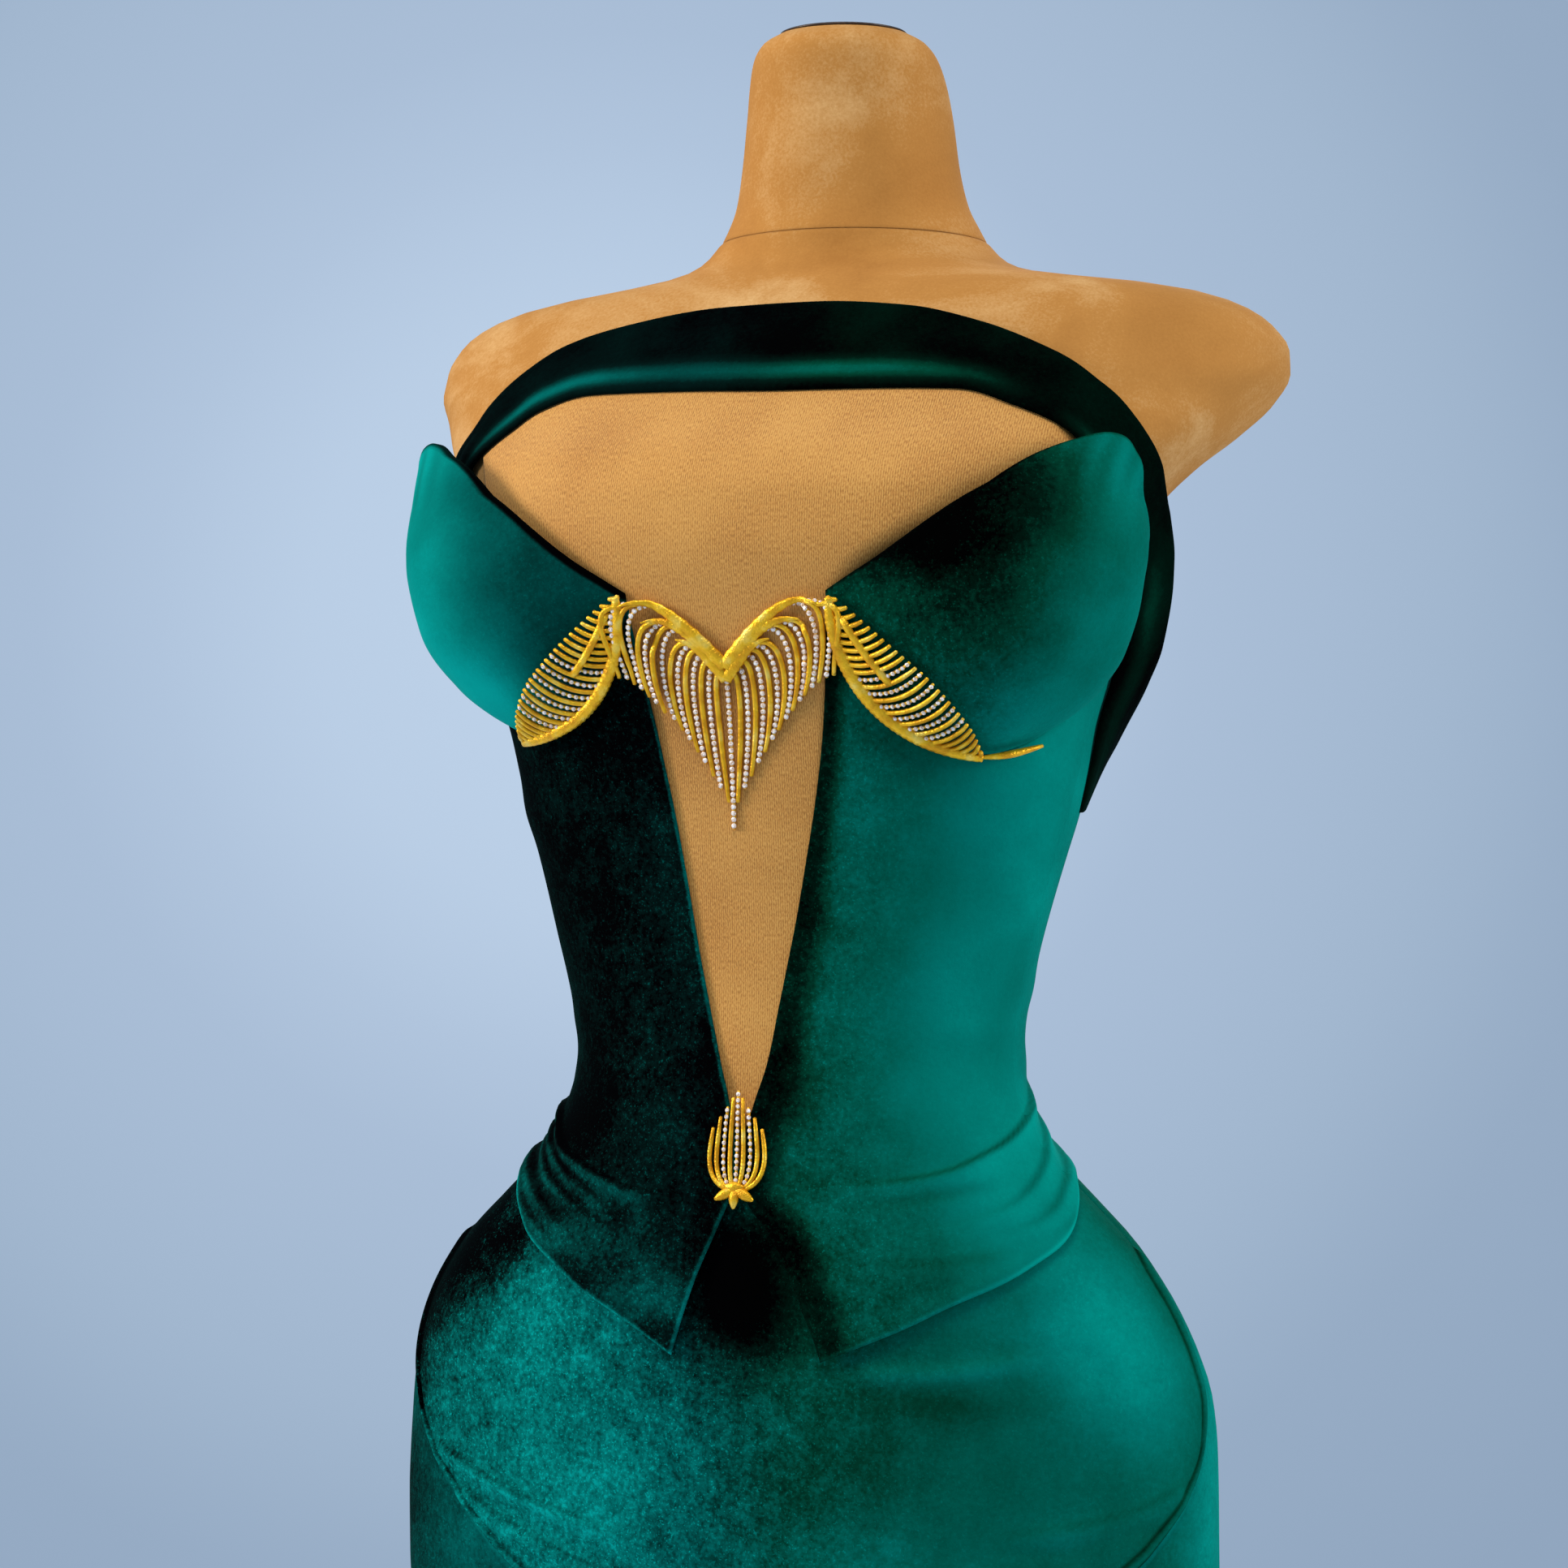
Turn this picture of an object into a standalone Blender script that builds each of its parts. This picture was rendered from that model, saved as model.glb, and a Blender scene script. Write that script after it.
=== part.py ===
# Velvet gown on a limbless dress form: fitted bodice with a front slit over a mesh insert,
# moulded cups, a strap that loops round the wearer's left side, a peplum cut in one with the
# bodice, a draped hip panel and a fluted skirt to the floor.
# Metres, +Z up, the gown's front faces -Y. Right and left are the wearer's.
# The body is one surface: an angle in degrees (0 front, +90 the wearer's left, 180 back) and
# a height give a point on the form, and each cloth piece lies at its own distance from it.

import math

import bmesh
import bpy
import numpy as np
from mathutils import Vector
from mathutils.bvhtree import BVHTree

# Walls and gaps
VELVET_WALL = 0.0016
CUP_WALL = 0.0024
MESH_WALL = 0.0010
TRIM_WALL = 0.0018
SEAM_INSET = 0.00022
FORM_EASE = 0.0026
MESH_LIFT = 0.0010
SKIRT_LIFT = 0.0006
SKIRT_JOIN = 0.0010
BODICE_LIFT = 0.0026
PEPLUM_LIFT = 0.0013
HEM_FLARE = 0.0014

# Heights
HEM_HEIGHT = 0.010
SKIRT_TOP = 1.008
FORM_BOTTOM = 0.690
SIDE_SEAM = 85.0
CENTRE_BACK = 180.0

# Cups
CUP_BULGE = 0.030

# Skirt flutes
FLUTE_TOP = 0.46
FLUTE_DEPTH = 0.013

# Stand
BASE_RADIUS = 0.165
BASE_HEIGHT = 0.018
COLLAR_RADIUS = 0.030
COLLAR_HEIGHT = 0.060
POLE_RADIUS = 0.0125
FLANGE_RADIUS = 0.055
FLANGE_HEIGHT = 0.006
TOUCH_GAP = 0.0003

# Zip
ZIP_TOP = 1.234
SLIDER_SIZE = (0.0064, 0.0022, 0.0105)
EAR_SIZE = (0.0011, 0.0028, 0.0034)
PULL_LENGTH = 0.024
PULL_WIDTH = 0.0058
PULL_WALL = 0.0010

# height, half width, centre y, front y, back y, squareness of the front
BODY_RINGS = (
    (0.008, 0.2860, 0.024, -0.240, 0.286, 2.00),
    (0.080, 0.2590, 0.020, -0.212, 0.248, 2.00),
    (0.160, 0.2280, 0.016, -0.178, 0.206, 2.00),
    (0.240, 0.2000, 0.013, -0.144, 0.166, 2.00),
    (0.320, 0.1790, 0.010, -0.116, 0.132, 2.00),
    (0.400, 0.1680, 0.008, -0.098, 0.112, 2.00),
    (0.480, 0.1680, 0.006, -0.090, 0.104, 2.00),
    (0.560, 0.1760, 0.005, -0.086, 0.106, 2.00),
    (0.630, 0.1860, 0.004, -0.085, 0.112, 2.00),
    (0.700, 0.1960, 0.003, -0.086, 0.120, 2.00),
    (0.760, 0.2030, 0.002, -0.088, 0.126, 2.00),
    (0.803, 0.2063, 0.001, -0.090, 0.130, 2.00),
    (0.836, 0.2061, 0.000, -0.091, 0.134, 2.00),
    (0.856, 0.2056, 0.001, -0.092, 0.135, 2.00),
    (0.876, 0.2047, 0.002, -0.092, 0.135, 2.00),
    (0.896, 0.2025, 0.001, -0.092, 0.132, 2.00),
    (0.916, 0.1970, -0.003, -0.091, 0.127, 2.00),
    (0.936, 0.1885, -0.006, -0.090, 0.120, 2.00),
    (0.952, 0.1790, -0.007, -0.089, 0.114, 2.00),
    (0.968, 0.1672, -0.006, -0.087, 0.107, 2.00),
    (0.984, 0.1515, -0.005, -0.085, 0.100, 2.00),
    (1.000, 0.1345, -0.005, -0.083, 0.093, 2.00),
    (1.016, 0.1208, -0.006, -0.081, 0.087, 2.00),
    (1.032, 0.1122, -0.006, -0.080, 0.083, 2.00),
    (1.044, 0.1090, -0.005, -0.079, 0.081, 2.00),
    (1.056, 0.1083, -0.004, -0.078, 0.080, 2.00),
    (1.076, 0.1100, -0.005, -0.076, 0.081, 2.00),
    (1.096, 0.1140, -0.007, -0.075, 0.084, 2.00),
    (1.116, 0.1190, -0.008, -0.075, 0.088, 2.00),
    (1.136, 0.1244, -0.007, -0.076, 0.092, 2.00),
    (1.156, 0.1300, -0.005, -0.078, 0.097, 2.05),
    (1.176, 0.1357, -0.003, -0.080, 0.103, 2.15),
    (1.196, 0.1400, 0.000, -0.083, 0.109, 2.25),
    (1.218, 0.1440, 0.001, -0.087, 0.115, 2.40),
    (1.245, 0.1520, 0.004, -0.094, 0.121, 2.60),
    (1.275, 0.1590, 0.010, -0.102, 0.127, 2.80),
    (1.305, 0.1660, 0.020, -0.107, 0.130, 2.80),
    (1.326, 0.1740, 0.031, -0.105, 0.131, 2.65),
    (1.344, 0.1880, 0.044, -0.097, 0.131, 2.40),
    (1.362, 0.2050, 0.0660, -0.082, 0.141, 2.20),
    (1.378, 0.2175, 0.0840, -0.068, 0.146, 2.10),
    (1.393, 0.2250, 0.0880, -0.053, 0.150, 2.05),
    (1.405, 0.2245, 0.0880, -0.042, 0.150, 2.00),
    (1.415, 0.2185, 0.0850, -0.033, 0.150, 2.00),
    (1.422, 0.2110, 0.0820, -0.026, 0.149, 2.00),
    (1.428, 0.2000, 0.0800, -0.020, 0.148, 2.00),
    (1.432, 0.1890, 0.0790, -0.016, 0.147, 2.00),
    (1.4352, 0.1760, 0.0780, -0.012, 0.146, 2.00),
    (1.4392, 0.1520, 0.0780, -0.006, 0.145, 2.00),
    (1.4428, 0.1229, 0.0780, -0.001, 0.145, 2.00),
    (1.4468, 0.1000, 0.0790, 0.003, 0.146, 2.00),
    (1.4512, 0.0860, 0.0795, 0.007, 0.147, 2.00),
    (1.4565, 0.0772, 0.0800, 0.0095, 0.148, 2.00),
    (1.465, 0.0690, 0.0805, 0.0115, 0.1495, 2.00),
)

# height, radius and centre y of the neck
NECK_PROFILE = (
    (1.4653, 0.0683, 0.0805),
    (1.4720, 0.0648, 0.0800),
    (1.4840, 0.0595, 0.0775),
    (1.5020, 0.0558, 0.0750),
    (1.5280, 0.0527, 0.0735),
    (1.5450, 0.0502, 0.0705),
    (1.5570, 0.0470, 0.0670),
    (1.5650, 0.0415, 0.0645),
    (1.5695, 0.0335, 0.0635),
)

# radius and rise of the cap on the neck
CAP_PROFILE = (
    (0.0310, 0.0000),
    (0.0325, 0.0008),
    (0.0325, 0.0024),
    (0.0285, 0.0036),
    (0.0180, 0.0042),
)

# angle from the front, lower edge, upper edge, share of the cup's full bulge
CUP_OUTLINE = (
    (17.5, 1.2720, 1.2805, 0.00),
    (21.0, 1.2530, 1.2875, 0.06),
    (25.0, 1.2365, 1.2955, 0.16),
    (31.0, 1.2210, 1.3095, 0.36),
    (38.0, 1.2095, 1.3260, 0.60),
    (46.0, 1.2045, 1.3445, 0.86),
    (50.0, 1.2045, 1.3525, 0.95),
    (53.5, 1.2060, 1.3550, 1.00),
    (58.0, 1.2090, 1.3510, 0.99),
    (64.0, 1.2150, 1.3300, 0.94),
    (71.0, 1.2240, 1.3050, 0.66),
    (78.0, 1.2360, 1.2820, 0.22),
    (85.0, 1.2510, 1.2650, 0.03),
)
# share of the cup's height from its lower edge, share of the bulge
CUP_SECTION = (
    (0.00, 0.00),
    (0.08, 0.30),
    (0.20, 0.62),
    (0.42, 0.95),
    (0.60, 1.00),
    (0.78, 0.86),
    (0.91, 0.68),
    (1.00, 0.55),
)
# how far the lower and upper edge of each cup move at full bulge
CUP_FIT = {"right": (0.0100, 0.0), "left": (0.0, -0.0055)}
CUP_ROWS = (0.0, 0.05, 0.13, 0.24, 0.38, 0.54, 0.70, 0.86, 1.0)
CUP_COLUMNS = (17.5, 21.0, 25.0, 29.5, 34.0, 39.0, 44.0, 49.0, 53.5, 59.0, 65.0, 71.5, 78.0, 85.0)

# angle, height: edges of the slit and of the peplum's points below the brooch
SLIT_EDGES = {
    "left": ((17.5, 1.2720), (17.3, 1.250), (17.0, 1.224), (15.0, 1.177), (12.0, 1.127), (8.7, 1.085),
             (6.3, 1.057), (3.6, 1.040), (0.9, 1.020), (0.5, 1.002), (2.5, 0.990), (5.5, 0.980),
             (8.5, 0.962), (10.5, 0.944), (12.0, 0.930), (12.8, 0.920)),
    "right": ((-17.5, 1.2720), (-16.9, 1.250), (-16.3, 1.224), (-14.3, 1.177), (-12.0, 1.121), (-9.0, 1.084),
              (-5.6, 1.057), (-3.2, 1.042), (-0.9, 1.020), (-0.5, 1.002), (-2.0, 0.990), (-3.6, 0.978),
              (-6.0, 0.957), (-7.6, 0.938), (-8.3, 0.928), (-8.8, 0.920)),
}
# angle, height: lower edge of the peplum, front point to side seam to centre back
PEPLUM_HEMS = {
    "left": ((12.8, 0.920), (19.0, 0.928), (25.5, 0.936), (33.5, 0.946), (45.5, 0.957), (54.0, 0.965),
             (63.0, 0.972), (74.5, 0.982), (85.0, 0.989)),
    "right": ((-8.8, 0.920), (-16.5, 0.934), (-25.0, 0.946), (-33.0, 0.957), (-43.0, 0.969), (-50.0, 0.978),
              (-64.0, 0.991), (-75.0, 0.996), (-85.0, 0.998)),
}

BACK_HEM = ((110.0, 0.986), (145.0, 0.979), (180.0, 0.976))
BACK_TOP = ((85.0, 1.2650), (105.0, 1.2680), (135.0, 1.2580), (180.0, 1.2460))

# heights of the bodice's rows on the slit's edge, on the side seam and at the centre back
BODICE_ROWS = (
    (1.2720, 1.2510, 1.2320),
    (1.2450, 1.2250, 1.2090),
    (1.2150, 1.1950, 1.1840),
    (1.1800, 1.1650, 1.1580),
    (1.1450, 1.1350, 1.1310),
    (1.1100, 1.1080, 1.1050),
    (1.0780, 1.0830, 1.0800),
    (1.0560, 1.0640, 1.0610),
    (1.0380, 1.0530, 1.0490),
    (1.0240, 1.0460, 1.0420),
    (1.0140, 1.0400, 1.0350),
    (1.0065, 1.0340, 1.0290),
    (0.9990, 1.0280, 1.0230),
    (0.9920, 1.0220, 1.0170),
    (0.9830, 1.0160, 1.0100),
    (0.9710, 1.0090, 1.0030),
    (0.9550, 1.0030, 0.9950),
    (0.9380, 0.9970, 0.9860),
    (0.9200, 0.9890, 0.9760),
)

# tucks that fan out from the side seams: height of the ridge, half width, then angle and height
TUCKS = (
    (0.0040, 0.0075, ((92.0, 1.033), (80.0, 1.025), (66.5, 1.017), (55.0, 1.010), (45.0, 1.006),
                      (28.5, 1.000), (16.0, 0.999))),
    (0.0034, 0.0065, ((92.0, 1.016), (83.0, 1.008), (67.0, 0.997), (54.0, 0.987), (37.5, 0.979))),
    (0.0030, 0.0060, ((94.0, 1.002), (85.0, 0.994), (69.0, 0.986), (56.5, 0.977), (48.5, 0.971))),
    (0.0036, 0.0070, ((-92.0, 1.040), (-70.0, 1.024), (-44.0, 1.008), (-33.0, 1.002), (-23.0, 1.001),
                      (-14.0, 0.998))),
    (0.0030, 0.0060, ((-90.0, 1.024), (-64.0, 1.006), (-42.0, 0.994), (-17.0, 0.990))),
    (0.0028, 0.0060, ((-88.0, 1.010), (-60.0, 0.993), (-40.5, 0.982), (-29.0, 0.973), (-19.5, 0.969))),
    (0.0034, 0.0070, ((97.0, 1.030), (120.0, 1.014), (140.0, 1.006), (160.0, 1.002))),
    (0.0030, 0.0065, ((-97.0, 1.032), (-120.0, 1.012), (-142.0, 1.003), (-162.0, 1.000))),
)

# upper edge: angle, height, distance from the form; lower edge: the same three
STRAP_EDGES = (
    (-61.0, 1.3420, 0.0028, -60.0, 1.3180, 0.0028),
    (-54.0, 1.3540, 0.0026, -54.0, 1.3320, 0.0026),
    (-47.5, 1.3655, 0.0024, -47.5, 1.3465, 0.0024),
    (-43.0, 1.3775, 0.0024, -43.0, 1.3535, 0.0024),
    (-37.5, 1.3895, 0.0024, -38.0, 1.3610, 0.0024),
    (-30.5, 1.4050, 0.0024, -32.0, 1.3705, 0.0024),
    (-20.0, 1.4145, 0.0024, -23.0, 1.3770, 0.0024),
    (-8.0, 1.4200, 0.0024, -9.0, 1.3760, 0.0024),
    (5.0, 1.4210, 0.0024, 5.0, 1.3745, 0.0024),
    (17.5, 1.4175, 0.0024, 17.0, 1.3745, 0.0024),
    (27.0, 1.4085, 0.0024, 26.5, 1.3740, 0.0024),
    (37.0, 1.3935, 0.0024, 35.5, 1.3660, 0.0024),
    (48.0, 1.3745, 0.0026, 43.5, 1.3575, 0.0024),
    (58.5, 1.3570, 0.0034, 51.0, 1.3475, 0.0026),
    (71.0, 1.3410, 0.0056, 60.5, 1.3350, 0.0032),
    (80.0, 1.3270, 0.0110, 69.0, 1.3200, 0.0042),
    (88.0, 1.3040, 0.0190, 77.0, 1.3010, 0.0066),
    (93.5, 1.2840, 0.0212, 82.5, 1.2810, 0.0090),
    (98.0, 1.2620, 0.0220, 86.5, 1.2620, 0.0110),
    (101.5, 1.2450, 0.0200, 88.5, 1.2430, 0.0122),
    (104.0, 1.2300, 0.0186, 89.5, 1.2270, 0.0128),
    (106.0, 1.2150, 0.0170, 90.0, 1.2120, 0.0122),
    (107.0, 1.2000, 0.0126, 90.5, 1.1980, 0.0092),
    (107.5, 1.1870, 0.0070, 91.0, 1.1860, 0.0060),
    (107.5, 1.1800, 0.0047, 91.5, 1.1790, 0.0047),
)

# angle, height: the mesh insert's edges, under the strap, the cups and the bodice
MESH_TOP = ((-46.0, 1.3620), (-39.0, 1.3725), (-32.0, 1.3830), (-22.0, 1.3900), (0.0, 1.3890),
            (26.0, 1.3870), (36.0, 1.3790), (45.0, 1.3660))
MESH_SIDE = ((45.0, 1.3660), (44.0, 1.3340), (37.0, 1.3170), (30.0, 1.3010), (24.5, 1.2870), (21.5, 1.2680),
             (20.5, 1.2400), (19.0, 1.2000), (16.0, 1.1500), (13.0, 1.1100), (9.8, 1.0700), (7.0, 1.0450),
             (5.0, 1.0280))

# angle, height: seam round the draped front panel, as two sides and a curve below them
DRAPE_RIGHT_EDGE = ((-83.5, 1.008), (-83.5, 0.990), (-82.0, 0.955), (-77.0, 0.920), (-71.0, 0.900),
                    (-66.0, 0.886))
DRAPE_LEFT_EDGE = ((94.0, 1.008), (93.4, 0.975), (92.7, 0.948), (91.8, 0.930), (90.0, 0.913), (86.5, 0.894),
                   (82.5, 0.877))
DRAPE_RIGHT_CURVE = ((-66.0, 0.886), (-61.0, 0.869), (-55.5, 0.855), (-49.0, 0.841), (-43.0, 0.826),
                     (-36.5, 0.811), (-25.0, 0.790), (-9.0, 0.774), (8.0, 0.768))
DRAPE_LEFT_CURVE = ((82.5, 0.877), (78.5, 0.862), (73.0, 0.848), (67.5, 0.836), (61.5, 0.824), (52.0, 0.807),
                    (40.0, 0.789), (24.0, 0.773), (8.0, 0.768))
DRAPE_COLUMNS = (0.0, 0.05, 0.22, 0.40, 0.60, 0.80, 1.0)
ROLL_SHARE = 0.05
DRAPE_ROLL = 0.0022

# heights of the skirt's rows on the drape's right seam, on its left seam and at the centre back
HIP_ROWS = (
    (1.008, 1.008, 1.008),
    (0.996, 0.996, 0.996),
    (0.984, 0.984, 0.984),
    (0.972, 0.972, 0.971),
    (0.958, 0.957, 0.956),
    (0.942, 0.940, 0.940),
    (0.924, 0.920, 0.922),
    (0.905, 0.899, 0.904),
    (0.886, 0.877, 0.886),
)
SKIRT_SEAM = 96.0
SKIRT_FALL = (0.0, 0.03, 0.06, 0.095, 0.135, 0.19, 0.26, 0.34, 0.43, 0.53, 0.64, 0.76, 0.88, 1.0)

# Points along the pieces' edges
BODICE_BACK_COLUMNS = 10
SKIRT_BACK_COLUMNS = 11
STRAP_COLUMNS = 44
MESH_COLUMNS = 13
MESH_ROWS = 16
STRAP_CROWN = 0.0010

# Dress form: heights of its rings, then its rounded underside as share of the lowest ring and drop
FORM_SIDES = 36
NECK_SIDES = 28
FORM_HEIGHTS = (0.690, 0.735, 0.790, 0.840, 0.880, 0.915, 0.945, 0.972, 1.000, 1.025, 1.056, 1.095,
                1.140, 1.185, 1.220, 1.255, 1.285, 1.308, 1.326, 1.344, 1.362, 1.378, 1.393, 1.408,
                1.420, 1.431, 1.4385, 1.443, 1.4467, 1.450, 1.4545, 1.465)
FORM_UNDERSIDE = ((0.970, 0.0090), (0.900, 0.0155), (0.780, 0.0180))

# Trims
BAR_WIDTH = 0.0018
SEAT_REACH = 0.080
FAN_BARS_A_SIDE = 12
FAN_HALF_WIDTH = 0.046
FAN_POINT = 1.2475
FAN_ARM_RISE = 0.029
FAN_TIP = 1.170
FAN_TIP_RISE = 0.072
WING_TINES = 18
WING_START = 18.5
WING_END = 46.0
WING_REACH = 0.026
WING_LEAN = (24.0, 38.0)
WING_TAIL = np.array([0.026, 0.0065])
WING_BAR = 0.0015
BROOCH_TINES = 9

SIDES = (("right", -1.0), ("left", 1.0))

COLOURS = {
    "velvet": ((0.000, 0.160, 0.105), 0.75, 0.0),
    "mesh": ((0.480, 0.225, 0.060), 0.80, 0.0),
    "suede": ((0.560, 0.270, 0.085), 0.90, 0.0),
    "gold": ((0.800, 0.480, 0.060), 0.28, 1.0),
    "cap": ((0.060, 0.032, 0.016), 0.45, 0.0),
    "steel": ((0.300, 0.300, 0.310), 0.35, 1.0),
    "zip": ((0.020, 0.110, 0.080), 0.40, 1.0),
}


def smooth(xs, ys, at):
    """Monotone cubic through the rows (xs, ys); ys may have several columns."""
    xs = np.asarray(xs, float)
    ys = np.asarray(ys, float).reshape(len(xs), -1)
    step = np.diff(xs)[:, None]
    slope = np.diff(ys, axis=0) / step
    bend = np.zeros_like(ys)
    bend[0] = slope[0]
    bend[-1] = slope[-1]
    if len(xs) > 2:
        before, after = slope[:-1], slope[1:]
        heavy = 2.0 * step[1:] + step[:-1]
        light = step[1:] + 2.0 * step[:-1]
        same = before * after > 0.0
        safe_before = np.where(same, before, 1.0)
        safe_after = np.where(same, after, 1.0)
        mean = (heavy + light) / (heavy / safe_before + light / safe_after)
        bend[1:-1] = np.where(same, mean, 0.0)
    at = np.asarray(at, float)
    cell = np.clip(np.searchsorted(xs, at) - 1, 0, len(xs) - 2)
    width = (xs[cell + 1] - xs[cell])[..., None]
    f = ((at - xs[cell])[..., None]) / width
    low = (2 * f ** 3 - 3 * f ** 2 + 1) * ys[cell] + (f ** 3 - 2 * f ** 2 + f) * width * bend[cell]
    high = (3 * f ** 2 - 2 * f ** 3) * ys[cell + 1] + (f ** 3 - f ** 2) * width * bend[cell + 1]
    return low + high


RING_TABLE = np.array(BODY_RINGS)
CUP_TABLE = np.array(CUP_OUTLINE)
CUP_RISE = np.array(CUP_SECTION)
METRES_PER_DEGREE = 0.0026


def step_up(x, low, high):
    """Soft step from 0 at low to 1 at high."""
    f = np.clip((np.asarray(x, float) - low) / (high - low), 0.0, 1.0)
    return f * f * (3.0 - 2.0 * f)


def flute(angle, height):
    """Outward waves of the skirt, deeper towards the hem."""
    turn = np.radians(angle)
    wave = 0.62 * np.cos(7.0 * turn + 0.4) + 0.38 * np.cos(4.0 * turn - 1.1) + 0.22 * np.sin(11.0 * turn)
    grow = np.clip((FLUTE_TOP - height) / (FLUTE_TOP - HEM_HEIGHT), 0.0, 1.0) ** 1.3
    return FLUTE_DEPTH * grow * wave


def on_body(angle, height):
    """Point of the form's surface at an angle in degrees and a height."""
    angle, height = np.broadcast_arrays(np.asarray(angle, float), np.asarray(height, float))
    row = smooth(RING_TABLE[:, 0], RING_TABLE[:, 1:], height)
    half_width, centre, front, back, power = np.moveaxis(row, -1, 0)
    turn = np.radians(angle)
    s, c = np.sin(turn), np.cos(turn)
    power = np.where(c > 0.0, power, 2.0)
    reach = (np.abs(s) ** power + np.abs(c) ** power) ** (-1.0 / power)
    depth = np.where(c > 0.0, centre - front, back - centre)
    wave = flute(angle, height)
    x = (half_width + wave) * s * reach
    y = centre - (depth + wave) * c * reach
    return np.stack([x, y, height], axis=-1)


def outward(angle, height):
    """Unit normal of the form's surface."""
    turn, rise = 0.06, 0.0010
    along = on_body(angle + turn, height) - on_body(angle - turn, height)
    up = on_body(angle, height + rise) - on_body(angle, height - rise)
    normal = np.cross(along, up)
    return normal / np.linalg.norm(normal, axis=-1, keepdims=True)


def lifted(angle, height, distance):
    """Point at a distance from the form's surface."""
    distance = np.broadcast_to(np.asarray(distance, float), np.shape(angle))
    return on_body(angle, height) + outward(angle, height) * distance[..., None]


def along_path(rows, shares):
    """Rows of (angle, height, ...) read at shares of the path's length."""
    rows = np.asarray(rows, float)
    step = np.hypot(np.diff(rows[:, 0]) * METRES_PER_DEGREE, np.diff(rows[:, 1]))
    length = np.concatenate([[0.0], np.cumsum(step)])
    return smooth(length / length[-1], rows, np.asarray(shares, float))


def angle_at(rows, heights):
    """Angle of an edge, given as rows of (angle, height) that fall in height, at some heights."""
    rising = np.asarray(rows, float)[::-1]
    return smooth(rising[:, 1], rising[:, 0], heights)[..., 0]


def patch(top, bottom, inner, outer, across, down):
    """Coons patch in angle and height, with rows and columns at given shares."""
    across = across[None, :, None]
    down = down[:, None, None]
    ruled_down = (1 - down) * top[None] + down * bottom[None]
    ruled_across = (1 - across) * inner[:, None] + across * outer[:, None]
    corners = ((1 - down) * ((1 - across) * top[0] + across * top[-1])
               + down * ((1 - across) * bottom[0] + across * bottom[-1]))
    return ruled_down + ruled_across - corners


def shares_of(heights):
    """Shares of the way down for falling heights."""
    heights = np.asarray(heights, float)
    return (heights[0] - heights) / (heights[0] - heights[-1])


def surface_scale(points):
    """Metres along the form for one degree of angle and for one metre of height."""
    angle, height = points[..., 0], points[..., 1]
    around = on_body(angle + 0.5, height) - on_body(angle - 0.5, height)
    upwards = on_body(angle, height + 0.001) - on_body(angle, height - 0.001)
    return np.stack([np.linalg.norm(around, axis=-1), np.linalg.norm(upwards, axis=-1) / 0.002], axis=-1)


def inset_edges(grid, amount=SEAM_INSET):
    """Moves a grid's four edges inwards, square to themselves, so that seams stay open."""
    scale = surface_scale(grid)
    row, column = grid.shape[0] // 2, grid.shape[1] // 2
    right = grid[row, column + 1] - grid[row, column]
    down = grid[row + 1, column] - grid[row, column]
    hand = np.sign(right[0] * down[1] - right[1] * down[0])
    moved = np.zeros_like(grid)
    edges = ((np.s_[0, :], 1.0), (np.s_[-1, :], -1.0), (np.s_[:, 0], -1.0), (np.s_[:, -1], 1.0))
    for edge, turn in edges:
        line = grid[edge]
        tangent = np.gradient(line, axis=0) * scale[edge]
        tangent /= np.linalg.norm(tangent, axis=1, keepdims=True)
        inward = np.stack([-tangent[:, 1], tangent[:, 0]], axis=-1) * hand * turn
        moved[edge] += inward * amount
    return grid + moved / scale


def tuck_relief(angle, height):
    """How far the tucks lift the peplum."""
    relief = np.zeros(np.shape(angle))
    shares = np.linspace(0.0, 1.0, 41)
    for ridge, half_width, rows in TUCKS:
        path = along_path(rows, shares)
        apart = np.hypot((angle[..., None] - path[:, 0]) * 0.0021, height[..., None] - path[:, 1])
        nearest = apart.argmin(axis=-1)
        fade = np.sqrt(np.clip(1.0 - shares[nearest], 0.0, 1.0))
        relief = np.maximum(relief, ridge * fade * np.exp(-(apart.min(axis=-1) / half_width) ** 2))
    return relief


def bodice_lift(angle, height):
    """Distance from the form to the inside of the bodice and peplum."""
    over_skirt = PEPLUM_LIFT * (1.0 - step_up(height, 1.035, 1.070))
    flare = HEM_FLARE * (1.0 - step_up(height, 0.935, 1.000))
    return BODICE_LIFT + over_skirt + flare + tuck_relief(angle, height)


def cup_outline(turns, side):
    """Lower edge, upper edge and share of the bulge at angles from the front."""
    rows = smooth(CUP_TABLE[:, 0], CUP_TABLE[:, 1:], turns)
    raised, lowered = CUP_FIT[side]
    share = rows[..., 2]
    return rows[..., 0] + raised * share, rows[..., 1] + lowered * share, share


def cup_lift(angle, height, side):
    """Distance from the form to the inside of a cup."""
    low, high, share = cup_outline(np.clip(np.abs(angle), CUP_TABLE[0, 0], CUP_TABLE[-1, 0]), side)
    up = np.clip((height - low) / (high - low), 0.0, 1.0)
    rise = smooth(CUP_RISE[:, 0], CUP_RISE[:, 1:], up)[..., 0]
    return BODICE_LIFT + CUP_BULGE * share * rise


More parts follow.
